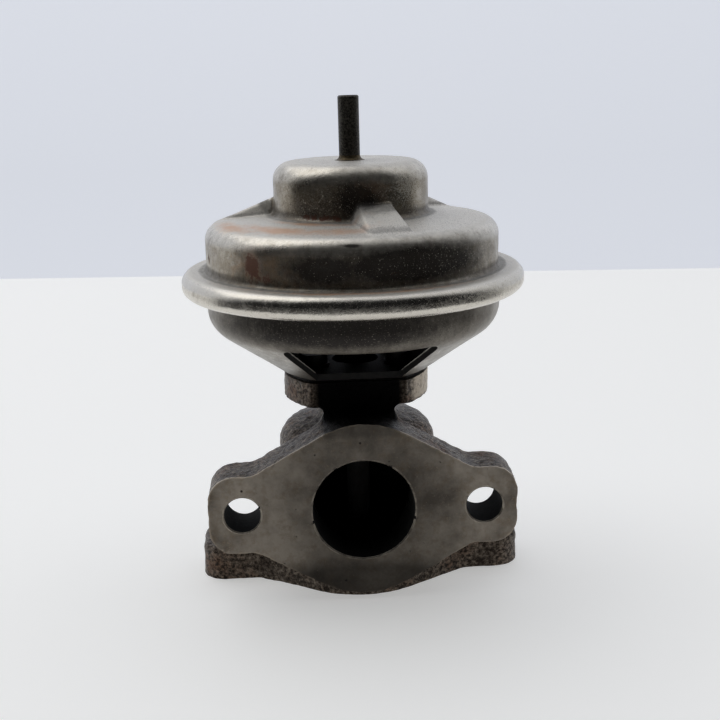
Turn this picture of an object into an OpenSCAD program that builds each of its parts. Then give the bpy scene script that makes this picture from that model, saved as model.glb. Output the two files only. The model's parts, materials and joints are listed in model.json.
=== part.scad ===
// EGR valve: a vacuum diaphragm valve that meters exhaust gas between two bolted flanges.
//
// Units are millimetres. The valve's axis is Z, pointing up, and z = 0 is the mounting face of the base
// flange. The front flange faces -Y. Vacuum on the nipple lifts the diaphragm, stem and poppet along +Z
// against the return spring, which opens the way from the base port to the front port.

/* [Gas chamber] */
// Outer radius of the chamber
chamber_r = 20.4; // [20:0.1:20.8]
// Thickness of the chamber's wall
chamber_wall = 4.9; // [4.6:0.1:5.2]
// Height where the chamber's dome meets the neck
dome_z = 41.8; // [41.6:0.1:42]
// Radius of the waist under the collar
neck_r = 9.8; // [9.4:0.1:10.4]
// Radius of the collar that carries the diaphragm case
collar_r = 18.7; // [18.5:0.1:18.9]
// Height of the collar's lower face
collar_z = 47.5; // [47.3:0.1:47.8]
// Distance from the axis to the two flats on the collar
collar_flat = 14.4; // [14:0.1:15]
// Half of the width of the web between the collar and the front flange
web_half = 9.2; // [9:0.1:9.6]

/* [Base flange] */
// Distance between the two base bolts
base_bolt_pitch = 67; // [66:0.5:68]
// Thickness of the base flange
base_flange_t = 8.5; // [8:0.5:9]
// Radius of the base flange's middle
base_hub_r = 22.4; // [22.2:0.1:22.8]
// Distance from a base bolt to the end of its lug
base_lug_end = 8.5; // [8:0.1:9]
// Half of the width of a base flange lug
base_lug_half = 9.6; // [9.4:0.1:9.8]
// Slope of the base flange's flanks, degrees
base_flank = 31.5; // [31:0.5:32.5]

/* [Front flange] */
// Distance between the two front bolts
front_bolt_pitch = 60; // [59:0.5:61]
// Thickness of the front flange
front_flange_t = 12.2; // [11.6:0.2:13]
// Distance from the axis to the front face
front_reach = 25; // [24.5:0.1:25.5]
// Radius of the front flange's middle
front_hub_r = 22.1; // [21.8:0.1:22.4]
// Distance from a front bolt to the end of its lug
front_lug_end = 8.2; // [7.8:0.1:8.6]
// Half of the width of a front flange lug
front_lug_half = 9.9; // [9.7:0.1:10.1]
// Slope of the front flange's flanks, degrees
front_flank = 30; // [29:0.5:31]
// Height of the front port's axis
port_z = 24; // [23.8:0.1:24.2]
// Radius of the front port
port_r = 12.75; // [12.5:0.05:13]
// Radius of the four bolt holes, clearance for M8
bolt_hole_r = 4.5; // [4.3:0.1:4.7]
// Radius of the lugs' outer corners
lug_corner_r = 6.2; // [5.8:0.1:6.6]

/* [Diaphragm case] */
// Thickness of the lower shell's sheet
lower_sheet = 1.6; // [1.5:0.1:1.7]
// Thickness of the upper shell's sheet
upper_sheet = 1.6; // [1.5:0.1:1.7]
// Outer radius of the lower shell's wall
lower_wall_r = 37.3; // [37.1:0.05:37.4]
// Slope of the lower shell's cone, degrees
cone_angle = 35; // [34.6:0.1:35.4]
// Half of the angle that each window takes, degrees
window_half_angle = 33; // [31:0.5:34]
// Distance from the axis to a window's straight lower edge
window_chord = 15.2; // [15:0.1:15.5]
// Distance from the axis to a window's upper edge
window_top_r = 35; // [34.6:0.1:35.2]
// Outer radius of the crimped rim
rim_r = 43.4; // [43.2:0.1:43.6]
// Height of the rim's upper ledge
rim_top = 81.2; // [81:0.1:81.4]
// Radius of the upper shell's wide step
tier1_r = 37; // [36.8:0.1:37.2]
// Height of the wide step at its outer edge
tier1_top = 92.6; // [92.4:0.1:92.8]
// Radius of the upper shell's narrow step
tier2_r = 19.4; // [19.2:0.1:19.6]
// Height where the narrow step rises from the wide one
tier2_foot = 94.5; // [94.3:0.1:94.7]
// Height of the upper shell's flat top
tier2_top = 107.5; // [107.3:0.1:107.7]
// Angle of the first gusset from the front, degrees
gusset_turn = 13.5; // [10:0.5:20]

/* [Vacuum nipple] */
// Outer radius of the nipple
nipple_r = 2.62; // [2.5:0.02:2.74]
// Radius of the nipple's bore
nipple_bore_r = 1.6; // [1.4:0.1:1.8]
// Height of the nipple's open end
nipple_top = 123.2; // [122.4:0.1:124]

/* [Valve rod] */
// Radius of the valve stem
stem_r = 3; // [2.9:0.05:3.05]
// Radius of the stem's threaded end
thread_r = 2.42; // [2.36:0.02:2.5]
// Lift from closed to fully open
valve_lift = 6; // [5.6:0.1:6.2]
// Height of the seat ring's upper edge
seat_z = 9; // [8.9:0.1:9.2]
// Radius of the seat ring's throat
seat_bore_r = 11.5; // [11.4:0.1:11.6]
// Radius of the base port, below the throat
base_port_r = 11.9; // [11.8:0.1:12.2]
// Radius of the diaphragm plates
plate_r = 27; // [26.5:0.1:27.3]

/* [Spring] */
// Diameter of the return spring's wire
spring_wire = 2.2; // [2:0.1:2.3]
// Mean radius of the return spring
spring_r = 13.2; // [13.1:0.05:13.3]
// Turns of the return spring, its closed ends included
spring_turns = 6.5; // [6:0.5:7]

/* [Hidden] */

$fn = 96;
bite = 1;           // how far a cutting shape runs past a face
slide_gap = 0.05;   // radial gap of a running fit
seat_gap = 0.05;    // radial gap between the closed poppet and its seat

// Gas chamber
cavity_r = chamber_r - chamber_wall;
cavity_top = 37.4;
cavity_floor = 8.5;
cavity_round = 5;
roof_slope = 0.6;   // rise of the cavity's roof from its wall to the axis
dome_rise = 1.9;    // rise of the dome from the wall to the neck, before its edge is rounded
dome_round = 6.5;
neck_fillet = 2.6;
collar_top = 53.9;
collar_round = 0.8;
knee_round = 5;     // where a flange's flank runs into its lug
web_fillet = 1.8;   // where the web runs into the collar and into the flange

// Seat ring, pressed in from below against its own flange
ring_r = 14;
ring_flange_r = 15.2;
ring_flange_t = 2;
ring_sink = 0.4;
seat_land = 1.2;
seat_throat_z = 5.4;

// Case stack, from the collar upwards
gasket_t = 1;
case_z = collar_top + gasket_t;
case_hole_r = 6;
cone_start = 18.9;
cone_top = case_z + (lower_wall_r - cone_start) * tan(cone_angle);

// Rim stack, from the ledge downwards
diaphragm_t = 1;
clamp_top = rim_top - upper_sheet;
clamp_z = clamp_top - diaphragm_t;
lip_top = clamp_z - lower_sheet;
lip_z = lip_top - upper_sheet;
clamp_r = rim_r - upper_sheet - 0.6;
lip_r = 41;
window_round = 2.5;
window_foot_round = 1;
window_h = 16;      // how far the windows' cutting shape reaches up
cone_foot_round = 2.8;
cone_top_round = 7.5;
top_round = 4.5;
step_round = 1.5;
shoulder_round = 4;
ledge_round = 1.2;
rim_round = 2.6;
lip_round = 2.2;

// Gussets between the two steps: half widths and heights of the crest and the foot
gusset_crest_half = 2.8;
gusset_toe_half = 3.7;
gusset_root_half = 4.4;
gusset_foot_half = 4.8;
gusset_reach = 33.2;
gusset_top = 99;
gusset_crest_z = 97.8;
gusset_edge_r = 0.9;

// Stem guide
bush_r = 5;
bush_z = 33.4;
recess_r = 8;
recess_z = 51.2;
retainer_t = 0.8;
shield_sheet = 0.8;
shield_r = 8.5;
shield_top = 36;
shield_z = 31.4;

// Case screws, in pairs between the two windows
screw_circle = 12.5;
screw_turns = [60, 120, 240, 300];
screw_r = 2;
screw_head_r = 3.5;
screw_head_h = 2.6;
screw_end = 49.6;
washer_t = 0.8;
base_floor = case_z + lower_sheet;

// Vacuum nipple: a thinner shank goes through the roof and is brazed there
shank_r = nipple_r - 0.32;
braze_h = 1.2;

// Valve rod stack, from the stem's shoulder upwards
plate_t = 1.4;
cup_t = 1.2;
shoulder_z = 69;
shoulder_r = 5.5;
fabric_z = shoulder_z + plate_t;
upper_plate_z = fabric_z + diaphragm_t;
cup_z = upper_plate_z + cup_t;
nut_washer_z = cup_z + cup_t;
nut_z = nut_washer_z + 1;
nut_h = 4;
nut_flats = 8;
stem_top = nut_z + nut_h + 1.5;
cup_r = 16;
plate_edge = 3.8;
poppet_r = 13.05;
poppet_z = 7;
poppet_edge_t = 0.8;
poppet_hub_r = 5;
poppet_hub_h = 2.2;
cup_h = 5.6;
nut_washer_r = 5.5;
fold_r = 33.4;      // where the diaphragm's fold meets the clamped rim
stem_head_r = 4.2;
stem_head_t = 1;

// Spring seat, which is also the stop for the nut at full lift
case_roof = tier2_top - upper_sheet;
seat_sheet = 1.2;
hat_r = spring_r - spring_wire / 2 - 1.3;
hat_flange_r = spring_r + spring_wire / 2 + 0.5;
stop_gap = 0.3;
stop_z = nut_z + nut_h + valve_lift + stop_gap;

// ---- Paths with round corners ----

function unit(v) = v / norm(v);
function left_of(a, b) = let (u = unit(b - a)) [-u[1], u[0]];
function flip(points) = [for (i = [len(points) - 1 : -1 : 0]) points[i]];

// Corner k of an open path, moved t to the path's left
function moved_corner(path, k, t) =
    k == 0 ? path[0] + t * left_of(path[0], path[1])
    : k == len(path) - 1 ? path[k] + t * left_of(path[k - 1], path[k])
    : let (m = left_of(path[k - 1], path[k]) + left_of(path[k], path[k + 1]))
      path[k] + 2 * t * m / (m * m);

// 1 where the path turns left at corner k, -1 where it turns right, 0 at its ends
function turn(path, k) =
    k == 0 || k == len(path) - 1 ? 0
    : sign(cross(path[k] - path[k - 1], path[k + 1] - path[k]));

// The arc of radius r that rounds corner b between a and c
function corner_arc(a, b, c, r, steps = 8) =
    let (
        u = unit(a - b),
        v = unit(c - b),
        half = acos(u * v) / 2,
        centre = b + unit(u + v) * r / sin(half),
        start = b + u * r / tan(half) - centre,
        sweep = sign(cross(b - a, c - b)) * (180 - 2 * half),
        from = atan2(start[1], start[0])
    )
    [for (i = [0 : steps]) centre + r * [cos(from + sweep * i / steps), sin(from + sweep * i / steps)]];

// An open path with each corner rounded by its own radius
function rounded(path, radii) = [
    for (k = [0 : len(path) - 1])
        each (radii[k] < 0.01 ? [path[k]] : corner_arc(path[k - 1], path[k], path[k + 1], radii[k]))
];

// The closed outline of a bent sheet: the path, and the same path moved t to its left
function sheet(path, radii, t) = concat(
    rounded(path, radii),
    flip(rounded(
        [for (k = [0 : len(path) - 1]) moved_corner(path, k, t)],
        [for (k = [0 : len(path) - 1]) radii[k] < 0.01 ? 0 : max(0, radii[k] - t * turn(path, k))]
    ))
);

// ---- Shared shapes ----

module ring(outer_r, inner_r, z, h) {
    translate([0, 0, z])
        difference() {
            cylinder(r = outer_r, h = h);
            translate([0, 0, -bite]) cylinder(r = inner_r, h = h + 2 * bite);
        }
}

// Three copies a third of a turn apart, the first one turned from the front by the given angle
module three_around(first) {
    for (i = [0 : 2]) rotate([0, 0, first + 120 * i]) children();
}

// A flange outline with a round middle and two lugs: one quarter of it, then its mirror images
function flange_quarter(hub, half_len, lug_half, flank) =
    let (
        tangent = hub * [sin(flank), cos(flank)],
        knee = [tangent[0] + (tangent[1] - lug_half) / tan(flank), lug_half]
    )
    concat(
        [for (a = [0 : 5 : flank - 2]) hub * [sin(a), cos(a)]],
        rounded([tangent, knee, [half_len, lug_half], [half_len, 0]], [0, knee_round, lug_corner_r, 0])
    );

module flange_outline(hub, half_len, lug_half, flank) {
    quarter = flange_quarter(hub, half_len, lug_half, flank);
    polygon(concat(
        quarter,
        flip([for (p = quarter) [p[0], -p[1]]]),
        [for (p = quarter) [-p[0], -p[1]]],
        flip([for (p = quarter) [-p[0], p[1]]])
    ));
}

// A copy at the front and one at the back
module front_and_back() {
    for (turn = [0, 180]) rotate([0, 0, turn]) children();
}

// A copy at each case screw's place
module at_screws() {
    for (turn = screw_turns) rotate([0, 0, turn]) translate([0, -screw_circle, 0]) children();
}

// A disc with two flats, as on the collar and its gasket
module flatted_disc(r, flat, z, h) {
    difference() {
        translate([0, 0, z]) cylinder(r = r, h = h);
        front_and_back() translate([-r, -flat - r, z - bite]) cube([2 * r, r, h + 2 * bite]);
    }
}

module screw_holes(r, z, h) {
    at_screws() translate([0, 0, z]) cylinder(r = r, h = h, $fn = 32);
}

// ---- Gas body ----

module chamber_solid() {
    rotate_extrude()
        polygon(rounded(
            [
                [0, 0], [chamber_r, 0], [chamber_r, dome_z - dome_rise], [neck_r, dome_z],
                [neck_r, collar_z], [collar_r, collar_z], [collar_r, collar_top], [0, collar_top]
            ],
            [0, 0, dome_round, neck_fillet, neck_fillet, collar_round, 0.6 * collar_round, 0]
        ));
}

module chamber_cavity() {
    rotate_extrude()
        polygon(rounded(
            [
                [0, cavity_floor], [cavity_r, cavity_floor],
                [cavity_r, cavity_top - roof_slope], [0, cavity_top]
            ],
            [0, 0, cavity_round, 0]
        ));
}

// Front view of the web, seen from the front port's axis and ending inside the collar
module web_outline() {
    edge = web_half + web_fillet;
    low = sqrt(pow(front_hub_r + web_fillet, 2) - edge * edge);
    high = collar_z - port_z - web_fillet;
    top = collar_z - port_z + web_fillet;
    difference() {
        polygon([[0, 0], [edge, low], [edge, top], [-edge, top], [-edge, low]]);
        for (side = [-1, 1]) translate([side * edge, 0]) {
            translate([0, low]) circle(web_fillet);
            translate([0, high]) circle(web_fillet);
            translate([-web_fillet, low]) square([2 * web_fillet, max(high - low, bite)]);
        }
    }
}

module valve_body() {
    color("dimgray")
        difference() {
            union() {
                chamber_solid();
                linear_extrude(base_flange_t)
                    flange_outline(base_hub_r, base_bolt_pitch / 2 + base_lug_end, base_lug_half, base_flank);
                translate([0, front_flange_t - front_reach, port_z]) rotate([90, 0, 0])
                    linear_extrude(front_flange_t)
                        flange_outline(
                            front_hub_r, front_bolt_pitch / 2 + front_lug_end, front_lug_half, front_flank
                        );
                translate([0, 0, port_z]) rotate([90, 0, 0]) linear_extrude(collar_flat) web_outline();
            }
            chamber_cavity();
            // Front port and its bolt holes
            translate([0, 0, port_z]) rotate([90, 0, 0]) cylinder(r = port_r, h = front_reach + bite);
            for (side = [-1, 1])
                translate([side * front_bolt_pitch / 2, bite - front_reach + front_flange_t, port_z])
                    rotate([90, 0, 0]) cylinder(r = bolt_hole_r, h = front_flange_t + 2 * bite);
            // Base port, stepped for the seat ring, and its bolt holes
            translate([0, 0, -bite]) cylinder(r = ring_r, h = cavity_floor + 2 * bite);
            translate([0, 0, -bite]) cylinder(r = ring_flange_r, h = bite + ring_sink + ring_flange_t);
            for (side = [-1, 1])
                translate([side * base_bolt_pitch / 2, 0, -bite])
                    cylinder(r = bolt_hole_r, h = base_flange_t + 2 * bite);
            // Stem guide, seal recess and tapped holes for the case screws
            translate([0, 0, cavity_top - 2 * bite])
                cylinder(r = bush_r, h = collar_top - cavity_top + 2 * bite);
            translate([0, 0, recess_z]) cylinder(r = recess_r, h = collar_top - recess_z + bite);
            screw_holes(screw_r, collar_z - bite, collar_top - collar_z + 2 * bite);
            // Flats on the collar
            front_and_back()
                translate([-collar_r, -collar_flat - collar_r, collar_z - bite])
                    cube([2 * collar_r, collar_r, collar_top - collar_z + 2 * bite]);
        }
}

module valve_seat() {
    color("silver")
        rotate_extrude()
            polygon([
                [base_port_r, ring_sink], [ring_flange_r, ring_sink],
                [ring_flange_r, ring_sink + ring_flange_t], [ring_r, ring_sink + ring_flange_t],
                [ring_r, seat_z], [seat_bore_r + seat_land, seat_z], [seat_bore_r, seat_z - seat_land],
                [seat_bore_r, seat_throat_z], [base_port_r, seat_throat_z]
            ]);
}

module guide_bush() {
    color("darkgoldenrod") ring(bush_r, stem_r + slide_gap, bush_z, recess_z - bush_z);
}

module deposit_shield() {
    color("slategray")
        rotate_extrude()
            polygon(sheet(
                [[bush_r, shield_top], [shield_r, shield_top], [shield_r, shield_z]],
                [0, 1.6, 0],
                -shield_sheet
            ));
}

module stem_seal() {
    color("black")
        ring(recess_r - 0.1, stem_r + slide_gap, recess_z, collar_top - retainer_t - recess_z);
}

module seal_retainer() {
    color("silver") ring(recess_r - 0.1, stem_r + 0.6, collar_top - retainer_t, retainer_t);
}

module case_gasket() {
    color("darkslategray")
        difference() {
            flatted_disc(collar_r - 0.8, collar_flat - 1.2, collar_top, gasket_t);
            translate([0, 0, collar_top - bite]) cylinder(r = case_hole_r, h = gasket_t + 2 * bite);
            screw_holes(screw_r + 0.2, collar_top - bite, gasket_t + 2 * bite);
        }
}

// ---- Diaphragm case ----

// A window's outline: radial sides, a straight edge near the axis and round corners at the top
module window_outline() {
    side = window_half_angle;
    top_corner = window_top_r * [sin(side), -cos(side)];
    polygon(rounded(
        [
            [0, -window_chord], [-window_chord * tan(side), -window_chord], [-top_corner[0], top_corner[1]],
            [-window_top_r * sin(side / 2), -window_top_r * cos(side / 2)], [0, -window_top_r],
            [window_top_r * sin(side / 2), -window_top_r * cos(side / 2)], top_corner,
            [window_chord * tan(side), -window_chord], [0, -window_chord]
        ],
        [0, window_foot_round, window_round, 0, 0, 0, window_round, window_foot_round, 0]
    ));
}

module lower_shell() {
    color("dimgray")
        difference() {
            rotate_extrude()
                polygon(sheet(
                    [
                        [case_hole_r, case_z], [cone_start, case_z], [lower_wall_r, cone_top],
                        [lower_wall_r, lip_top], [clamp_r, lip_top]
                    ],
                    [0, cone_foot_round, cone_top_round, 1, 0],
                    lower_sheet
                ));
            front_and_back() translate([0, 0, case_z - bite]) linear_extrude(window_h) window_outline();
            screw_holes(screw_r + 0.2, case_z - bite, lower_sheet + 2 * bite);
        }
}

module lock_washers() {
    color("gainsboro")
        at_screws()
            ring(screw_head_r + 0.4, screw_r + 0.1, base_floor, washer_t, $fn = 48);
}

module case_screws() {
    socket_across = 3;
    color("silver")
        at_screws()
            difference() {
                union() {
                    translate([0, 0, screw_end])
                        cylinder(r = screw_r, h = base_floor + washer_t - screw_end + bite, $fn = 32);
                    translate([0, 0, base_floor + washer_t])
                        cylinder(r = screw_head_r, h = screw_head_h, $fn = 48);
                }
                translate([0, 0, base_floor + washer_t + screw_head_h / 3])
                    cylinder(r = socket_across / 2 / cos(30), h = screw_head_h, $fn = 6);
            }
}

// One pressed gusset in the corner between the two steps, grown inwards by the given sheet thickness:
// a wedge with a sloping crest, sloping sides and rounded edges
module gusset(skin = 0) {
    edge_r = max(gusset_edge_r / 3, gusset_edge_r - skin / 3);
    toe_z = tier1_top + 0.3;
    crest = [
        [tier2_r - 2, gusset_crest_half, gusset_top], [tier2_r + 0.6, gusset_crest_half, gusset_crest_z],
        [gusset_reach, gusset_toe_half, toe_z]
    ];
    foot = [
        [tier2_r - 3, gusset_root_half, toe_z], [gusset_reach - 0.6, gusset_foot_half, toe_z - 0.7]
    ];
    hull()
        for (p = concat(crest, foot), side = [-1, 1])
            translate([side * (p[1] - skin), skin * 0.7 - p[0], p[2] - skin])
                sphere(r = edge_r, $fn = 16);
}

module upper_shell() {
    color("gray")
        difference() {
            union() {
                rotate_extrude()
                    polygon(sheet(
                        [
                            [shank_r, tier2_top], [tier2_r, tier2_top], [tier2_r, tier2_foot],
                            [tier1_r, tier1_top], [tier1_r, rim_top], [rim_r, rim_top], [rim_r, lip_z],
                            [lip_r, lip_z]
                        ],
                        [0, top_round, step_round, shoulder_round, ledge_round, rim_round, lip_round, 0],
                        -upper_sheet
                    ));
                three_around(gusset_turn) gusset();
            }
            three_around(gusset_turn) gusset(upper_sheet);
        }
}

module vacuum_nipple() {
    foot_r = 4.2;
    foot_t = 1.2;
    color("dimgray")
        rotate_extrude()
            polygon([
                [nipple_bore_r, case_roof - foot_t], [foot_r, case_roof - foot_t], [foot_r, case_roof],
                [shank_r, case_roof], [shank_r, tier2_top + braze_h], [nipple_r, tier2_top + braze_h],
                [nipple_r, nipple_top - 0.3], [nipple_r - 0.3, nipple_top],
                [nipple_bore_r, nipple_top]
            ]);
}

module nipple_braze() {
    color("peru")
        rotate_extrude()
            polygon(concat(
                [[shank_r, tier2_top]],
                [
                    for (a = [90 : -15 : 0])
                        [nipple_r + braze_h * (1 - cos(a)), tier2_top + braze_h * (1 - sin(a))]
                ],
                [[shank_r, tier2_top + braze_h]]
            ));
}

// ---- Valve rod and diaphragm ----

module valve_stem() {
    neck_in = 0.8;      // the shoulder is two of these thick, and its cone one more
    tip = 0.4;
    color("lightsteelblue")
        rotate_extrude()
            polygon([
                [0, poppet_z - stem_head_t], [stem_head_r - tip, poppet_z - stem_head_t],
                [stem_head_r, poppet_z - stem_head_t + tip], [stem_head_r, poppet_z],
                [stem_r, poppet_z], [stem_r, shoulder_z - 3 * neck_in],
                [shoulder_r, shoulder_z - 2 * neck_in], [shoulder_r, shoulder_z],
                [thread_r, shoulder_z], [thread_r, stem_top - tip], [thread_r - tip, stem_top],
                [0, stem_top]
            ]);
}

module poppet() {
    cone_foot = seat_bore_r - (seat_z - seat_land - poppet_z) - seat_gap;
    edge_z = poppet_z + poppet_r - cone_foot;
    color("silver")
        rotate_extrude()
            polygon([
                [stem_r, poppet_z], [cone_foot, poppet_z], [poppet_r, edge_z],
                [poppet_r, edge_z + poppet_edge_t], [poppet_hub_r, edge_z + poppet_edge_t + poppet_hub_h],
                [stem_r, edge_z + poppet_edge_t + poppet_hub_h]
            ]);
}

module lower_plate() {
    color("silver")
        rotate_extrude()
            polygon(sheet(
                [[thread_r, fabric_z], [plate_r, fabric_z], [plate_r, fabric_z - plate_edge]],
                [0, 3, 0],
                -plate_t
            ));
}

module upper_plate() {
    color("silver")
        rotate_extrude()
            polygon(sheet(
                [[thread_r, upper_plate_z], [plate_r, upper_plate_z], [plate_r, upper_plate_z + plate_edge]],
                [0, 3, 0],
                cup_t
            ));
}

module diaphragm() {
    fold_in = plate_r + 1.6;
    color("black")
        rotate_extrude()
            polygon(sheet(
                [[thread_r, fabric_z], [fold_in, fabric_z], [fold_r, clamp_z], [clamp_r - 0.6, clamp_z]],
                [0, 2.5, 1.5, 0],
                diaphragm_t
            ));
}

module spring_cup() {
    color("silver")
        rotate_extrude()
            polygon(sheet([[thread_r, cup_z], [cup_r, cup_z], [cup_r, cup_z + cup_h]], [0, 2, 0], cup_t));
}

module nut_washer() {
    color("gainsboro") ring(nut_washer_r, thread_r, nut_washer_z, nut_z - nut_washer_z);
}

module stem_nut() {
    color("silver")
        translate([0, 0, nut_z])
            difference() {
                cylinder(r = nut_flats / 2 / cos(30), h = nut_h, $fn = 6);
                translate([0, 0, -bite]) cylinder(r = thread_r, h = nut_h + 2 * bite);
            }
}

// ---- Spring ----

// Height of the wire's middle after t turns: both end turns lie flat, the rest climbs evenly
function coil_rise(t, low, high) =
    let (
        flat = spring_wire / 2,
        climb = (high - low - 4 * flat) / (spring_turns - 2)
    )
    t < 1 ? low + flat * t * 2
    : t > spring_turns - 1 ? high - flat * (spring_turns - t) * 2
    : low + 2 * flat + climb * (t - 1);

module coil(low, high) {
    per_turn = 24;
    sides = 10;
    rings = round(spring_turns * per_turn);
    r = spring_wire / 2;
    points = [
        for (i = [0 : rings], j = [0 : sides - 1])
            let (
                around = 360 * i / per_turn,
                side = 360 * j / sides,
                reach = spring_r + r * cos(side)
            )
            [
                reach * cos(around),
                reach * sin(around),
                coil_rise(i / per_turn, low + r, high - r) + r * sin(side)
            ]
    ];
    walls = [
        for (i = [0 : rings - 1], j = [0 : sides - 1])
            let (k = (j + 1) % sides)
            [i * sides + j, (i + 1) * sides + j, (i + 1) * sides + k, i * sides + k]
    ];
    ends = [[for (j = [0 : sides - 1]) j], [for (j = [sides - 1 : -1 : 0]) rings * sides + j]];
    polyhedron(points, concat(walls, ends));
}

module return_spring() {
    color("lightgray") coil(cup_z + cup_t, case_roof - seat_sheet);
}

module spring_seat() {
    seat_face = case_roof - seat_sheet;
    color("silver")
        rotate_extrude()
            polygon(sheet(
                [[hat_flange_r, seat_face], [hat_r, seat_face], [hat_r, stop_z], [thread_r + 0.5, stop_z]],
                [0, 0.8, 2, 0],
                -seat_sheet
            ));
}

valve_body();
valve_seat();
poppet();
valve_stem();
guide_bush();
deposit_shield();
stem_seal();
seal_retainer();
case_gasket();
lower_shell();
lock_washers();
case_screws();
lower_plate();
diaphragm();
upper_plate();
spring_cup();
nut_washer();
stem_nut();
return_spring();
spring_seat();
upper_shell();
vacuum_nipple();
nipple_braze();
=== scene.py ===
"""EGR valve: the dressed model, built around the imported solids.

Blender's unit is the metre, and the shapes below are worked out in millimetres and scaled once, when
they become meshes. The valve's axis is Z and the front flange faces -Y. Azimuths are measured from -Y
towards +X, in degrees.
"""

from __future__ import annotations

import json
import logging
import math
from dataclasses import dataclass, field
from enum import Enum, IntEnum
from typing import Callable

import bpy
import numpy as np
from mathutils import Matrix, Vector

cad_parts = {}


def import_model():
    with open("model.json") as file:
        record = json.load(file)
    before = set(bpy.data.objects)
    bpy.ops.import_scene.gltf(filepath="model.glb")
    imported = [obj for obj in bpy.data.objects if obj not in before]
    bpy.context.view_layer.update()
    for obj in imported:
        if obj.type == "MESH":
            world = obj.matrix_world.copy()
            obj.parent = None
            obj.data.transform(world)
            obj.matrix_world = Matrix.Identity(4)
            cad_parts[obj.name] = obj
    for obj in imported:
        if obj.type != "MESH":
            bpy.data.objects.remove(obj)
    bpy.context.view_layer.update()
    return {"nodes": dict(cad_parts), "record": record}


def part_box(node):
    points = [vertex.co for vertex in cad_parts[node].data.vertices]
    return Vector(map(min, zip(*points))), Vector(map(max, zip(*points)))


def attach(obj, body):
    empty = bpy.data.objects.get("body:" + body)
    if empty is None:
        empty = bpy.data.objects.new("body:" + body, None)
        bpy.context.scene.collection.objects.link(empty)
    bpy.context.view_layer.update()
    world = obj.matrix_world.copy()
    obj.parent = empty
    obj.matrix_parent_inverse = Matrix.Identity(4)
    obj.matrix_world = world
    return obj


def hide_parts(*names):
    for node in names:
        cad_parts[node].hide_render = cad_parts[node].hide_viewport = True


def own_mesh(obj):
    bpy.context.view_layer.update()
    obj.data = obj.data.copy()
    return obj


MM = 0.001
log = logging.getLogger("egr_valve")

Array = np.ndarray
Field = Callable[[np.ndarray], np.ndarray]


# ---- Paths and meshes ----


def unit(v: Array) -> Array:
    """The vector v scaled to length one, along its last axis."""
    return v / np.linalg.norm(v, axis=-1, keepdims=True)


def corner_arc(a: Array, b: Array, c: Array, radius: float, steps: int) -> Array:
    """The arc that rounds corner b of the path a, b, c.

    The arc's centre stands on the corner's bisector at radius / sin(half the corner's angle), and the
    arc turns through half a circle less that angle.

    Args:
        a, b, c: three points of the path.
        radius: the arc's radius; under a hundredth the corner stays sharp.
        steps: how many equal steps the arc takes.

    Returns:
        steps + 1 points.
    """
    if radius < 0.01:
        return np.repeat(b[None], steps + 1, axis=0)
    u, v = unit(a - b), unit(c - b)
    half = math.acos(float(np.clip(u @ v, -1, 1))) / 2
    centre = b + unit(u + v) * radius / math.sin(half)
    start = b + u * radius / math.tan(half) - centre
    cross = (b - a)[0] * (c - b)[1] - (b - a)[1] * (c - b)[0]
    sweep = math.copysign(math.pi - 2 * half, cross)
    angle = math.atan2(start[1], start[0]) + sweep * np.linspace(0, 1, steps + 1)
    return centre + radius * np.stack([np.cos(angle), np.sin(angle)], -1)


def bent_sheet(
    corners: list[list[float]], radii: list[float], thickness: float, step: float, arc_steps: int = 10
) -> tuple[Array, Array]:
    """Both faces of a bent sheet, as paths with the same number of points.

    The second path is the first one moved by the thickness to its left: each corner moves along the sum
    m of the two normals there by 2 t m / |m|^2, and each radius shrinks on a left turn and grows on a
    right one.

    Args:
        corners: the first face's corners.
        radii: the radius of each corner.
        thickness: the sheet's thickness, below zero to move to the right.
        step: the longest step on a straight stretch.
        arc_steps: steps in each round corner.

    Returns:
        The two faces, each of shape (n, 2).
    """
    path = np.array(corners, float)
    ahead = unit(np.diff(path, axis=0))
    left = np.stack([-ahead[:, 1], ahead[:, 0]], -1)
    moved = path.copy()
    moved[0] += thickness * left[0]
    moved[-1] += thickness * left[-1]
    m = left[:-1] + left[1:]
    moved[1:-1] += 2 * thickness * m / np.sum(m * m, -1, keepdims=True)
    turn = np.sign(ahead[:-1, 0] * ahead[1:, 1] - ahead[:-1, 1] * ahead[1:, 0])
    faces = []
    for points, sign in ((path, 0.0), (moved, 1.0)):
        out = [points[:1]]
        for k in range(1, len(points) - 1):
            r = radii[k] - sign * thickness * turn[k - 1] if radii[k] > 0.01 else 0.0
            out.append(corner_arc(points[k - 1], points[k], points[k + 1], max(r, 0.0), arc_steps))
        out.append(points[-1:])
        faces.append(out)
    counts = [max(1, math.ceil(np.linalg.norm(b[0] - a[-1]) / step)) for a, b in zip(faces[0], faces[0][1:])]
    result = []
    for arcs in faces:
        pieces = []
        for arc, after, n in zip(arcs, arcs[1:], counts):
            a, b = arc[-1], after[0]
            pieces += [arc, a + (b - a) * (np.arange(1, n)[:, None] / n)]
        result.append(np.concatenate([*pieces, arcs[-1]]))
    return result[0], result[1]


def path_length(path: Array) -> Array:
    """How far along an open path each of its points is."""
    return np.concatenate([[0.0], np.cumsum(np.linalg.norm(np.diff(path, axis=0), axis=1))])


def smooth_step(x: Array, low: float, high: float | Array) -> Array:
    """0 below low, 1 above high, and 3t^2 - 2t^3 between, where t is the share of the way."""
    t = np.clip((np.asarray(x, float) - low) / (high - low), 0, 1)
    return t * t * (3 - 2 * t)


def bell(x: Array, width: float, power: int = 2) -> Array:
    """A hill of height one round x = 0: exp(-(x / width)^power)."""
    return np.exp(-((x / width) ** power))


def soft_plus(x: Array, width: float) -> Array:
    """A smooth max(x, 0): width times log(1 + exp(x / width))."""
    return width * np.logaddexp(0, x / width)


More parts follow.
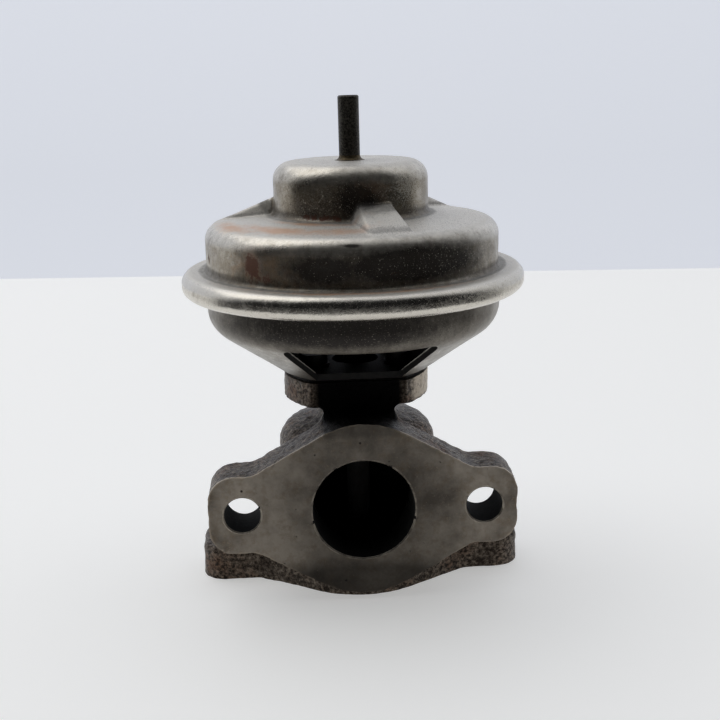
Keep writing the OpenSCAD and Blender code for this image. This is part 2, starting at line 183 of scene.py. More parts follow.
def grid_quads(rows: int, columns: int, wrap_rows: bool, wrap_columns: bool) -> Array:
    """The quads of a grid whose point (i, j) has the number i * columns + j.

    Args:
        rows, columns: the grid's size in points.
        wrap_rows, wrap_columns: whether the last line joins the first.

    Returns:
        Point numbers, shape (rows, columns, 4) less one where a direction doesn't wrap.
    """
    i = np.arange(rows if wrap_rows else rows - 1)[:, None]
    j = np.arange(columns if wrap_columns else columns - 1)[None, :]
    i2, j2 = (i + 1) % rows, (j + 1) % columns
    return np.stack([i * columns + j, i * columns + j2, i2 * columns + j2, i2 * columns + j], -1)


def revolve(path: Array, azimuths: Array) -> Array:
    """The surface that a path leaves when it is turned about the axis: (r sin a, -r cos a, z).

    Args:
        path: the points (r, z).
        azimuths: the angles a, in degrees.

    Returns:
        Points of shape (len(path), len(azimuths), 3).
    """
    a = np.radians(azimuths)[None, :]
    r, z = path[:, 0][:, None], path[:, 1][:, None]
    return np.stack([r * np.sin(a), -r * np.cos(a), np.broadcast_to(z, (len(path), a.shape[1]))], -1)


class Grain:
    """A seeded sum of plane waves, which gives a lumpy field that repeats nowhere on the part."""

    def __init__(self, seed: int, shortest: float, longest: float, count: int = 48) -> None:
        """Draws the waves.

        Args:
            seed: fixes the draw.
            shortest, longest: the range of wavelengths, in mm.
            count: how many waves are summed.
        """
        rng = np.random.default_rng(seed)
        waves = np.exp(rng.uniform(np.log(shortest), np.log(longest), count))
        self.k = unit(rng.normal(size=(count, 3))) * (2 * np.pi / waves)[:, None]
        self.phase = rng.uniform(0, 2 * np.pi, count)
        self.size = np.sqrt(2 / count)

    def __call__(self, points: Array) -> Array:
        """The field's value, about one in size.

        Args:
            points: shape (..., 3), in mm.

        Returns:
            One value per point.
        """
        flat = points.reshape(-1, 3)
        out = np.zeros(len(flat))
        for k, phase in zip(self.k, self.phase):
            out += np.sin(flat @ k + phase)
        return (out * self.size).reshape(points.shape[:-1])


def link(name: str, data: bpy.types.ID) -> bpy.types.Object:
    """A new object in the scene, at the origin."""
    piece = bpy.data.objects.new(name, data)
    bpy.context.scene.collection.objects.link(piece)
    return piece


def node_box(name: str) -> tuple[Array, Array]:
    """A solid's lowest and highest corner, in mm."""
    low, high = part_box(name)
    return np.array(low) / MM, np.array(high) / MM


def make_piece(
    name: str,
    points: Array,
    faces: Array | list[list[int]],
    materials: list[bpy.types.Material],
    slots: Array | None = None,
    masks: dict[str, Array] | None = None,
    sharp_degrees: float = 38.0,
) -> bpy.types.Object:
    """Turns points in mm and faces into a smooth-shaded object at the origin.

    Args:
        name: the object's name.
        points: shape (n, 3), in mm.
        faces: quads of shape (m, 4), or lists of point numbers where triangles are among them.
        materials: one per material slot.
        slots: the slot of each face.
        masks: named values per point, which the materials read.
        sharp_degrees: edges that bend more than this stay sharp.

    Returns:
        The object, linked to the scene.
    """
    mesh = bpy.data.meshes.new(name)
    mesh.from_pydata((points.reshape(-1, 3) * MM).tolist(), [], faces if isinstance(faces, list) else faces.tolist())
    for material in materials:
        mesh.materials.append(material)
    if slots is not None:
        mesh.polygons.foreach_set("material_index", slots.astype(np.int32))
    for key, values in (masks or {}).items():
        layer = mesh.attributes.new(key, "FLOAT", "POINT")
        layer.data.foreach_set("value", values.reshape(-1).astype(np.float32))
    mesh.shade_smooth()
    mesh.set_sharp_from_angle(angle=math.radians(sharp_degrees))
    mesh.update()
    return link(name, mesh)


def settle(piece: bpy.types.Object, body: str, slot: str, *nodes: str) -> bpy.types.Object:
    """Puts a finished piece on its body and lets it stand for its solids.

    Args:
        piece: the piece.
        body, slot: the name of the body, and the name of a material slot, which is not used.
        nodes: the names of the solids.

    Returns:
        The same piece.
    """
    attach(piece, body)
    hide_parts(*nodes)
    log.info("%s: %d faces, stands for %s", piece.name, len(piece.data.polygons), ", ".join(nodes))
    return piece


# ---- Distance fields, for the casting ----


class FlatField:
    """Signed distance to a closed outline, worked out once on a flat grid and read between its points."""

    def __init__(self, outline: Array, margin: float = 6.0, step: float = 0.2) -> None:
        """Fills the grid.

        The distance is the least one to any side of the outline, and its sign comes from how many sides
        a ray along the first axis crosses.

        Args:
            outline: the outline's points, shape (n, 2).
            margin: how far the grid reaches past the outline.
            step: the grid's spacing.
        """
        self.low = outline.min(0) - margin - 0.37 * step
        self.step = step
        counts = np.ceil((outline.max(0) + margin - self.low) / step).astype(int) + 1
        a = self.low[0] + step * np.arange(counts[0])
        b = self.low[1] + step * np.arange(counts[1])
        grid = np.stack(np.meshgrid(a, b, indexing="ij"), -1)
        best = np.full(grid.shape[:2], 1e9)
        inside = np.zeros(grid.shape[:2], bool)
        for p, q in zip(outline, np.roll(outline, -1, axis=0)):
            side = q - p
            length = float(side @ side)
            if length < 1e-12:
                continue
            t = np.clip(((grid - p) @ side) / length, 0, 1)
            gap = grid - p - t[..., None] * side
            best = np.minimum(best, np.sum(gap * gap, -1))
            crosses = (p[1] > grid[..., 1]) != (q[1] > grid[..., 1])
            if abs(side[1]) > 1e-9:
                at = p[0] + (grid[..., 1] - p[1]) * side[0] / side[1]
                inside ^= crosses & (grid[..., 0] < at)
        self.values = np.sqrt(best) * np.where(inside, -1, 1)

    def __call__(self, a: Array, b: Array) -> Array:
        """The distance at (a, b), mixed from the four grid points around it by how near each lies.

        Args:
            a, b: the points' two coordinates.

        Returns:
            The distance at each point, held at its last value past the grid.
        """
        shape = self.values.shape
        u = np.clip((a - self.low[0]) / self.step, 0, shape[0] - 1.001)
        v = np.clip((b - self.low[1]) / self.step, 0, shape[1] - 1.001)
        i, j = u.astype(int), v.astype(int)
        s, t = u - i, v - j
        g = self.values
        return (g[i, j] * (1 - s) + g[i + 1, j] * s) * (1 - t) + (g[i, j + 1] * (1 - s) + g[i + 1, j + 1] * s) * t


def fillet_union(a: Array, b: Array, radius: float) -> Array:
    """The union of two solids with a round fillet: max(r, min(a, b)) - |(r - a, r - b)| where both are under r."""
    u, v = np.maximum(radius - a, 0), np.maximum(radius - b, 0)
    return np.maximum(radius, np.minimum(a, b)) - np.hypot(u, v)


def rounded_slab(outline: Array, across: Array, edge: float) -> Array:
    """A flat plate with edges of radius edge, from its outline's distance and the distance past its faces."""
    a, b = outline + edge, across + edge
    return np.hypot(np.maximum(a, 0), np.maximum(b, 0)) + np.minimum(np.maximum(a, b), 0) - edge


CROSSING_ROUNDS = 5
CROSSING_SHARES = 0.08, 0.92
GRADIENT_REACH = 0.02
CENTRE_PULL = 0.03


def crossings(distance: Field, low: Array, high: Array, f_low: Array, f_high: Array) -> tuple[Array, Array]:
    """Where lines cross the surface, narrowed down by false position, and the normals there.

    Args:
        distance: the field.
        low, high: the lines' ends, one on each side of the surface.
        f_low, f_high: the field at them.

    Returns:
        The crossings, and the field's gradient at them made one long, each of shape (n, 3).
    """
    low, high, f_low, f_high = (v.copy() for v in (low, high, f_low, f_high))
    for _ in range(CROSSING_ROUNDS):
        middle = low + (high - low) * np.clip(f_low / (f_low - f_high), *CROSSING_SHARES)[:, None]
        f = distance(middle)
        same = (f < 0) == (f_low < 0)
        low[same], f_low[same] = middle[same], f[same]
        high[~same], f_high[~same] = middle[~same], f[~same]
    point = low + (high - low) * (f_low / (f_low - f_high))[:, None]
    slopes = [distance(point + reach) - distance(point - reach) for reach in GRADIENT_REACH * np.eye(3)]
    return point, unit(np.stack(slopes, -1) + 1e-12)


def dual_contour(distance: Field, xs: Array, ys: Array, zs: Array) -> tuple[Array, Array]:
    """The surface where a distance field is zero, with its edges kept sharp.

    One point stands in every box of the grid that the surface passes through. It is the point that lies
    closest to the planes through the surface's crossings of the box's edges, each plane square to the
    field's gradient there: it solves (sum of n n^T) x = sum of n (n . p), with a weak pull to the
    crossings' middle. Each crossed edge gives one quad, between the four boxes around it.

    Args:
        distance: the field, for points of shape (n, 3).
        xs, ys, zs: the grid's lines along each axis.

    Returns:
        Points of shape (n, 3) and quads of shape (m, 4), facing outwards.
    """
    lines = (xs, ys, zs)
    grid = np.stack(np.meshgrid(*lines, indexing="ij"), -1)
    shape = np.array(grid.shape[:3])
    value = np.concatenate([distance(slab.reshape(-1, 3)) for slab in grid]).reshape(shape)
    boxes = tuple(shape - 1)
    total = int(np.prod(boxes))
    # Per box: the six different entries of n n^T, the three of n (n . p), those of p, and the count
    sums = np.zeros((total, 13))
    quads = []
    for axis in range(3):
        others = [k for k in range(3) if k != axis]
        step = np.eye(3, dtype=int)[axis]
        near = value[tuple(slice(0, count - s) for count, s in zip(shape, step))]
        far = value[tuple(slice(s, None) for s in step)]
        cut = np.argwhere((near < 0) != (far < 0))
        cut = cut[np.all((cut[:, others] > 0) & (cut[:, others] < shape[others] - 1), 1)]
        here, there = tuple(cut.T), tuple((cut + step).T)
        p, n = crossings(distance, grid[here], grid[there], value[here], value[there])
        d = np.sum(n * p, -1, keepdims=True)
        row = np.column_stack([n[:, :1] * n, n[:, 1:2] * n[:, 1:], n[:, 2:] ** 2, n * d, p, np.ones(len(p))])
        corners = []
        for shift in ((0, 0), (-1, 0), (-1, -1), (0, -1)):
            box = cut.copy()
            box[:, others] += shift
            number = np.ravel_multi_index(tuple(box.T), boxes)
            corners.append(number)
            for k, column in enumerate(row.T):
                sums[:, k] += np.bincount(number, column, total)
        quad = np.stack(corners, -1)
        outward = (value[here] < 0) == (axis != 1)
        quad[~outward] = quad[~outward][:, ::-1]
        quads.append(quad)
    quad = np.concatenate(quads)
    used, where = np.unique(quad, return_inverse=True)
    s = sums[used]
    count = s[:, 12]
    centre = s[:, 9:12] / count[:, None]
    m = s[:, [0, 1, 2, 1, 3, 4, 2, 4, 5]].reshape(-1, 3, 3)
    rest = s[:, 6:9] - np.einsum("nij,nj->ni", m, centre)
    m += CENTRE_PULL * count[:, None, None] * np.eye(3)
    point = centre + np.linalg.solve(m, rest[..., None])[..., 0]
    for axis, index in enumerate(np.unravel_index(used, boxes)):
        point[:, axis] = np.clip(point[:, axis], lines[axis][index], lines[axis][index + 1])
    return point, where.reshape(quad.shape)


@dataclass(frozen=True)
class Chamfer:
    """A 45 degree chamfer round a hole's mouth on the face y = face, in mm."""

    x: float
    z: float
    radius: float
    face: float
    width: float
    reach: float = 2.0
    near: float = 0.04

    def ring(self, out: Array, radius: Array | float) -> tuple[Array, Array]:
        """The x and z of points at a distance from the hole's axis, along the directions out."""
        return self.x + out[:, 0] * radius, self.z + out[:, 1] * radius

    def cut(self, points: Array, quads: Array) -> tuple[Array, Array]:
        """Splits the sharp edge round the hole and bridges the gap.

        Points on the face move away from the hole and points on its wall move inwards, by w at the edge
        and less further off: d becomes w + d (D - w) / D for every distance d under D. The edge's own
        points are doubled, one for each side, and a ring of quads joins them.

        Args:
            points, quads: the surface.

        Returns:
            The surface with the chamfer.
        """
        points = points.copy()
        off = points[:, [0, 2]] - [self.x, self.z]
        d = np.hypot(off[:, 0], off[:, 1]) - self.radius
        depth = points[:, 1] - self.face
        on_face, on_wall = np.abs(depth) < self.near, np.abs(d) < self.near
        edge = on_face & on_wall
        shrink = (self.reach - self.width) / self.reach
        out = off / (d + self.radius)[:, None]
        flat = on_face & ~on_wall & (d > 0) & (d < self.reach)
        wall = on_wall & (depth < self.reach) & (depth > -self.near)
        for chosen, new in ((flat, self.width + d * shrink), (edge, 0 * d)):
            points[chosen, 0], points[chosen, 2] = self.ring(out[chosen], self.radius + new[chosen])
        points[wall, 1] = self.face + self.width + np.where(edge, 0, np.maximum(depth, 0))[wall] * shrink
        number = np.flatnonzero(edge)
        copy_of = np.arange(len(points))
        copy_of[number] = len(points) + np.arange(len(number))
        x, z = self.ring(out[number], self.radius + self.width)
        extra = np.stack([x, np.full(len(x), self.face), z], -1)
        facing = np.all(on_face[quads], 1) & np.any(edge[quads], 1)
        facing &= ~np.all(on_wall[quads], 1)
        quads = quads.copy()
        old = quads[facing]
        ring = []
        for k in range(4):
            a, b = old[:, k], old[:, (k + 1) % 4]
            both = edge[a] & edge[b]
            ring.append(np.stack([copy_of[b], copy_of[a], a, b], -1)[both])
        quads[facing] = copy_of[old]
        return np.concatenate([points, extra]), np.concatenate([quads, *ring])


# ---- Finishes ----


def linear(code: str, alpha: float = 1.0) -> tuple[float, float, float, float]:
    """An sRGB colour as linear numbers: c / 12.92 where c is small, and ((c + 0.055) / 1.055)^2.4 elsewhere.

    Args:
        code: the colour in hex, such as "8a7b6c".
        alpha: its opacity.

    Returns:
        The four numbers that the shaders take.
    """
    parts = [int(code[k : k + 2], 16) / 255 for k in (0, 2, 4)]
    r, g, b = (c / 12.92 if c <= 0.04045 else ((c + 0.055) / 1.055) ** 2.4 for c in parts)
    return (r, g, b, alpha)


def add(tree: bpy.types.NodeTree, kind: str, inputs: dict | None = None, **settings) -> bpy.types.Node:
    """Adds a node, sets its fields, and links or fills its inputs.

    Args:
        tree: the node tree.
        kind: the node's type name.
        inputs: input name or number, to a value or to another node's output socket.
        settings: fields of the node itself.

    Returns:
        The node.
    """
    node = tree.nodes.new(kind)
    for key, value in settings.items():
        setattr(node, key, value)
    for key, value in (inputs or {}).items():
        if isinstance(value, bpy.types.NodeSocket):
            tree.links.new(value, node.inputs[key])
        else:
            node.inputs[key].default_value = value
    return node


Socket = bpy.types.NodeSocket
Value = float | Socket
Colour = str | Socket


class Graph:
    """A new material and its nodes, with a short call for each kind that the finishes share.

    Every pattern reads Object coordinates, which are the part's own in metres, and takes its size in mm.
    """

    def __init__(self, name: str) -> None:
        """Makes the material, empty but for its coordinates.

        Args:
            name: the material's name.
        """
        self.material = bpy.data.materials.new(name)
        self.material.use_nodes = True
        self.tree = self.material.node_tree
        self.tree.nodes.clear()
        self.place = add(self.tree, "ShaderNodeTexCoord").outputs["Object"]

    def noise(self, size_mm: float, detail: float = 4.0, rough: float = 0.6) -> Socket:
        """Clouds whose features are about size_mm across."""
        inputs = {"Vector": self.place, "Scale": 1 / (size_mm * MM), "Detail": detail, "Roughness": rough}
        return add(self.tree, "ShaderNodeTexNoise", inputs).outputs["Fac"]

    def cells(self, size_mm: float) -> Socket:
        """The distance to the nearest of points that lie about size_mm apart."""
        inputs = {"Vector": self.place, "Scale": 1 / (size_mm * MM)}
        return add(self.tree, "ShaderNodeTexVoronoi", inputs).outputs["Distance"]

    def height(self) -> Socket:
        """The height over the part's foot, in metres."""
        return add(self.tree, "ShaderNodeSeparateXYZ", {0: self.place}).outputs["Z"]

    def mask(self, name: str) -> Socket:
        """The value that the mesh carries under a name, or 0 where it carries none."""
        return add(self.tree, "ShaderNodeAttribute", attribute_name=name).outputs["Fac"]

    def span(self, value: Value, low: float, high: float, to_low: Value = 0.0, to_high: Value = 1.0) -> Socket:
        """Turns the range low to high into to_low to to_high, and holds both ends."""
        inputs = {"Value": value, "From Min": low, "From Max": high, "To Min": to_low, "To Max": to_high}
        return add(self.tree, "ShaderNodeMapRange", inputs).outputs["Result"]

    def math(self, operation: str, *values: Value) -> Socket:
        """One sum on numbers."""
        return add(self.tree, "ShaderNodeMath", dict(enumerate(values)), operation=operation).outputs[0]

    def mix(self, share: Value, first: Colour, second: Colour) -> Socket:
        """The first colour, with the second one's share laid over it."""
        first, second = (linear(c) if isinstance(c, str) else c for c in (first, second))
        inputs = {"Factor": share, 6: first, 7: second}
        return add(self.tree, "ShaderNodeMix", inputs, data_type="RGBA").outputs[2]

    def bump(self, height: Socket, strength: float, depth_mm: float, below: Socket | None = None) -> Socket:
        """Bends the normal by a pattern.

        Args:
            height: the pattern.
            strength: how much of the bend is used.
            depth_mm: how deep the pattern is.
            below: another bump that this one lies on.

        Returns:
            The bent normal.
        """
        inputs = {"Strength": strength, "Distance": depth_mm * MM, "Height": height}
        if below is not None:
            inputs["Normal"] = below
        return add(self.tree, "ShaderNodeBump", inputs).outputs["Normal"]

    def shade(self, colour: Colour, rough: Value, metal: Value, normal: Socket) -> bpy.types.Material:
        """Closes the material with its shader.

        Args:
            colour, rough, metal, normal: what the shader takes.

        Returns:
            The material.
        """
        inputs = {"Base Color": colour, "Roughness": rough, "Metallic": metal, "Normal": normal}
        shader = add(self.tree, "ShaderNodeBsdfPrincipled", inputs)
        add(self.tree, "ShaderNodeOutputMaterial", {"Surface": shader.outputs["BSDF"]})
        return self.material


@dataclass(frozen=True)
class WornSteel:
    """Pressed steel sheet, once bright, that heat and handling have dulled to a satin grey.

    Rolled steel mirrors its surroundings along every bend. Its edges stay polished, and its corners and
    its faces under overhangs and towards the front are darkened with soot and oil mixed with painted shade.
    Its level faces are paled as bare matt metal, partly as painted top light, dust clings as pale specks,
    partly as a painted sheen, and rust lies first as a brown film and then as a matt crust.
    """

    name: str
    light: str = "c4beb2"
    mid: str = "978d7a"
    dark: str = "7d7262"
    speckle: str = "4f483e"
    matt: str = "efebe4"
    soot_and_shade: str = "150e0a"
    film: str = "d9a67c"
    crust: str = "70412a"
    crust_dark: str = "351d12"
    polished: str = "dcd7cd"
    dust: str = "c6c0b2"
    smooth: float = 0.24
    rough: float = 0.4
    dust_level: float = 0.2
    # Heat tints the sheet in patches of a finger's width, and drops leave stains of a few millimetres. Fine
    # grit of a tenth of a millimetre would be too small to show, so it is drawn at three times that.
    mottle_mm: float = 12.0
    stain_mm: float = 2.6
    break_mm: float = 1.7
    spot_mm: float = 0.9
    grit_mm: float = 0.3

    def build(self) -> bpy.types.Material:
        """Makes the material.

        Returns:
            The finished material.
        """
        g = Graph(self.name)
        mottle = g.noise(self.mottle_mm, 5.0, 0.62)
        cloud, fine = g.noise(self.stain_mm, 5.0, 0.72), g.noise(self.grit_mm, 3.0)
        colour = g.mix(g.span(mottle, 0.34, 0.64), self.dark, self.light)
        colour = g.mix(g.span(cloud, 0.4, 0.62, 0.0, 0.7), colour, self.mid)
        spots = g.span(g.noise(self.spot_mm, 3.0, 0.7), 0.54, 0.62, 0.0, 0.75)
        spots = g.math("MULTIPLY", spots, g.span(mottle, 0.65, 0.4))
        colour = g.mix(spots, colour, self.dark)
        rough = g.span(cloud, 0.3, 0.72, self.smooth, self.rough)
        # Matt bare metal on the level faces and the gussets' crests, made pale: partly painted light on the tops,
        # which face the overhead light
        bare_and_top_light = g.mask("bare_and_top_light")
        colour = g.mix(g.math("MULTIPLY", bare_and_top_light, 0.85), colour, self.matt)
        colour = g.mix(g.span(fine, 0.34, 0.5, 0.5, 0.0), colour, self.speckle)
        rough = g.math("MULTIPLY_ADD", bare_and_top_light, 0.16, rough)
        # Polished edges
        wear_and_glint = g.span(g.math("MULTIPLY", g.mask("wear_and_glint"), cloud), 0.14, 0.42, 0.0, 0.85)
        colour = g.mix(wear_and_glint, colour, self.polished)
        rough = g.math("MULTIPLY_ADD", wear_and_glint, -0.08, rough)
        # Rust as a thin film, broken up by the clouds
        broken = g.noise(self.break_mm, 6.0, 0.72)
        film = g.math("MULTIPLY", g.mask("stain"), g.span(mottle, 0.3, 0.6, 0.35, 1.0))
        film = g.span(g.math("MULTIPLY_ADD", cloud, 0.5, film), 0.36, 0.8, 0.0, 0.72)
        colour = g.mix(film, colour, self.film)
        # Soot and oil, mixed with painted shade in corners, under overhangs and towards the front
        grime = g.math("MULTIPLY_ADD", broken, 0.5, g.mask("grime"))
        grime = g.span(grime, 0.36, 0.95, 0.0, 0.94)
        colour = g.mix(grime, colour, self.soot_and_shade)
        # Dust specks, which hold on to grimy metal more; on some patches they also stand for a painted sheen
        level = g.span(g.math("ADD", g.mask("dust"), self.dust_level), 0.0, 1.2, 0.7, 0.46)
        speck = g.span(g.math("SUBTRACT", fine, level), 0.0, 0.06, 0.0, 0.8)
        colour = g.mix(speck, colour, self.dust)
        # Rust as a crust
        crust = g.span(g.math("ADD", g.mask("rust"), broken), 0.84, 0.98, 0.0, 0.95)
        colour = g.mix(crust, colour, g.mix(fine, self.crust, self.crust_dark))
        matt = g.math("MAXIMUM", g.math("MAXIMUM", crust, speck), g.math("MULTIPLY", grime, 0.6))
        rough = g.math("MULTIPLY_ADD", matt, 0.35, rough)
        metal = g.math("MULTIPLY", g.span(matt, 0.0, 1.0, 1.0, 0.2), g.span(bare_and_top_light, 0.0, 1.0, 1.0, 0.35))
        dents = g.bump(cloud, 0.2, 0.4)
        pits = g.bump(broken, 0.3, 0.12, dents)
        return g.shade(colour, rough, metal, g.bump(fine, 0.22, 0.06, pits))


@dataclass(frozen=True)
class ShearedEdge:
    """The punched edge of a steel sheet: torn metal darkened to near black as painted shade, with a bright burr along
    one side that is partly a painted highlight.
    """

    name: str = "case_steel_sheared_shade_darkened"
    torn: str = "1c1815"
    soot_and_shade: str = "0b0a09"
    burr_glint: str = "e0dbd0"
    # The torn half of a sheared edge breaks up at about the sheet's thickness, and its tears are finer
    tear_mm: float = 1.2
    grain_mm: float = 0.4

    def build(self) -> bpy.types.Material:
        """Makes the material.

        Returns:
            The finished material.
        """
        g = Graph(self.name)
        cloud, fine = g.noise(self.tear_mm, 5.0, 0.7), g.noise(self.grain_mm, 2.0)
        # Painted shade: the cut faces are kept near black
        colour = g.mix(g.span(cloud, 0.4, 0.65), self.soot_and_shade, self.torn)
        # The burr's bright line along the window's inner edge, partly a painted highlight
        burr_glint = g.span(g.math("MULTIPLY_ADD", cloud, 0.3, g.mask("wear_and_glint")), 0.95, 1.12)
        colour = g.mix(burr_glint, colour, self.burr_glint)
        rough = g.span(burr_glint, 0.0, 1.0, 0.75, 0.3)
        metal = g.span(burr_glint, 0.0, 1.0, 0.3, 1.0)
        return g.shade(colour, rough, metal, g.bump(fine, 0.3, 0.1))


@dataclass(frozen=True)
class CastIron:
    """Sand-cast grey iron, dark with heat and oil, with rust in its hollows and along its edges.

    The sand leaves a skin of small lumps and pits, which breaks every reflection into dull grains. Painted
    shade darkens the web and the collar's front, and a painted glint and painted light pale some edges and
    the collar's right side.
    """

    name: str = "grey_iron_sand_cast"
    skin: str = "665c52"
    dark: str = "2b231d"
    high: str = "b8ad9d"
    rust: str = "6a4229"
    rim: str = "cdc0ad"
    soot_and_shade: str = "080707"
    # A usual moulding sand has grains of about 0.3 mm. The skin's lumps are two or three grains across, and
    # rust and oil lie in patches of a thumb's width.
    patch_mm: float = 9.0
    lump_mm: float = 0.9
    grit_mm: float = 0.7
    sand_mm: float = 0.6

    def build(self) -> bpy.types.Material:
        """Makes the material.

        Returns:
            The finished material.
        """
        g = Graph(self.name)
        lumps, patches = g.noise(self.lump_mm, 6.0, 0.7), g.noise(self.patch_mm, 4.0)
        grit = g.cells(self.grit_mm)
        low = g.mix(g.span(lumps, 0.41, 0.52), self.dark, self.skin)
        colour = g.mix(g.span(lumps, 0.53, 0.66, 0.0, 0.75), low, self.high)
        colour = g.mix(g.span(patches, 0.36, 0.56, 0.45, 0.0), colour, self.dark)
        colour = g.mix(g.span(g.math("MULTIPLY", patches, lumps), 0.27, 0.38, 0.0, 0.5), colour, self.rust)
        # Pale rims: the flange's worn edges, a painted glint along the web's seams and painted light on the collar's
        # right side
        edge = g.span(g.math("MULTIPLY", g.mask("rim"), lumps), 0.2, 0.5, 0.0, 0.8)
        colour = g.mix(edge, colour, self.rim)
        # Painted shade, near black, on the web and the collar's front flat
        colour = g.mix(g.span(g.math("MULTIPLY_ADD", lumps, 0.4, g.mask("soot_and_shade")), 0.4, 0.9), colour, self.soot_and_shade)
        rough = g.span(patches, 0.3, 0.7, 0.3, 0.48)
        coarse = g.bump(lumps, 1.0, 0.6)
        sand = g.bump(g.noise(self.sand_mm, 4.0, 0.7), 1.0, 0.24, coarse)
        return g.shade(colour, rough, 0.93, g.bump(grit, 0.35, 0.12, sand))


@dataclass(frozen=True)
class MilledIron:
    """Milled grey iron that has dulled to a warm dark grey, with small pits and faint marks of the cutter."""

    name: str = "grey_iron_milled"
    face: str = "8f877c"
    dark: str = "514b44"
    brown: str = "625340"
    pit: str = "120f0d"
    rim: str = "a09484"
    bright: str = "b9b0a2"
    smooth: float = 0.34
    # The gasket leaves patches of a finger's width. A cutter's marks are about 0.1 mm apart, which is too
    # fine to show, so they are drawn at 0.55 mm. Pits lie a few millimetres apart, in clusters.
    patch_mm: float = 16.0
    stain_mm: float = 2.2
    mark_mm: float = 0.55
    pit_mm: float = 2.4
    cluster_mm: float = 3.1

    def build(self) -> bpy.types.Material:
        """Makes the material.

        Returns:
            The finished material.
        """
        g = Graph(self.name)
        patches = g.noise(self.patch_mm, 5.0, 0.66)
        cloud, fine = g.noise(self.stain_mm, 5.0, 0.7), g.noise(self.mark_mm, 3.0)
        colour = g.mix(g.span(patches, 0.35, 0.65), self.dark, self.face)
        colour = g.mix(g.span(cloud, 0.48, 0.7, 0.0, 0.5), colour, self.brown)
        colour = g.mix(g.span(fine, 0.6, 0.72, 0.0, 0.35), colour, self.rim)
        rare = g.span(g.noise(self.cluster_mm, 2.0), 0.6, 0.64)
        pit = g.math("MULTIPLY", g.span(g.cells(self.pit_mm), 0.1, 0.18, 0.9, 0.0), rare)
        colour = g.mix(pit, colour, self.pit)
        rim = g.math("MULTIPLY", g.mask("rim"), cloud)
        colour = g.mix(g.span(rim, 0.3, 0.56, 0.0, 0.8), colour, self.rim)
        # Painted highlight on the holes' machined chamfers
        bright = g.span(g.math("MULTIPLY", g.mask("bright"), cloud), 0.36, 0.56, 0.0, 0.85)
        colour = g.mix(bright, colour, self.bright)
        # Darker towards the face's foot, as painted shade, and round the port
        colour = g.mix(g.math("MULTIPLY", g.mask("soot_and_shade"), 0.8), colour, self.pit)
        rough = g.span(fine, 0.3, 0.7, self.smooth, self.smooth + 0.16)
        skin = g.bump(cloud, 0.12, 0.12)
        return g.shade(colour, rough, 0.85, g.bump(fine, 0.3, 0.07, skin))


@dataclass(frozen=True)
class PlainFinish:
    """Any finish of a small or hidden piece: two tones that noise mixes, with a grain in its gloss and bump.

    Below soot_top_mm, if that is given, soot covers it.
    """

    name: str
    light: str
    dark: str
    metal: float
    smooth: float
    rough: float
    patch_mm: float = 3.0
    grain_mm: float = 0.5
    bump: float = 0.3
    soot_top_mm: float = 0.0
    soot_and_shade: str = "070606"

    def build(self) -> bpy.types.Material:
        """Makes the material.

        Returns:
            The finished material.
        """
        g = Graph(self.name)
        patch, grain = g.noise(self.patch_mm, 5.0, 0.65), g.noise(self.grain_mm, 2.0)
        colour = g.mix(g.span(patch, 0.36, 0.64), self.dark, self.light)
        rough = g.span(grain, 0.3, 0.7, self.smooth, self.rough)
        metal: Value = self.metal
        if self.soot_top_mm:
            top, fade = self.soot_top_mm * MM, 2 * MM
            soot_and_shade = g.span(g.math("MULTIPLY_ADD", patch, fade, g.height()), top, top + fade, 0.95, 0.0)
            colour = g.mix(soot_and_shade, colour, self.soot_and_shade)
            rough = g.math("MULTIPLY_ADD", soot_and_shade, 0.7, rough)
            metal = g.span(soot_and_shade, 0.0, 1.0, self.metal, 0.0)
        return g.shade(colour, rough, metal, g.bump(grain, self.bump, 0.15))


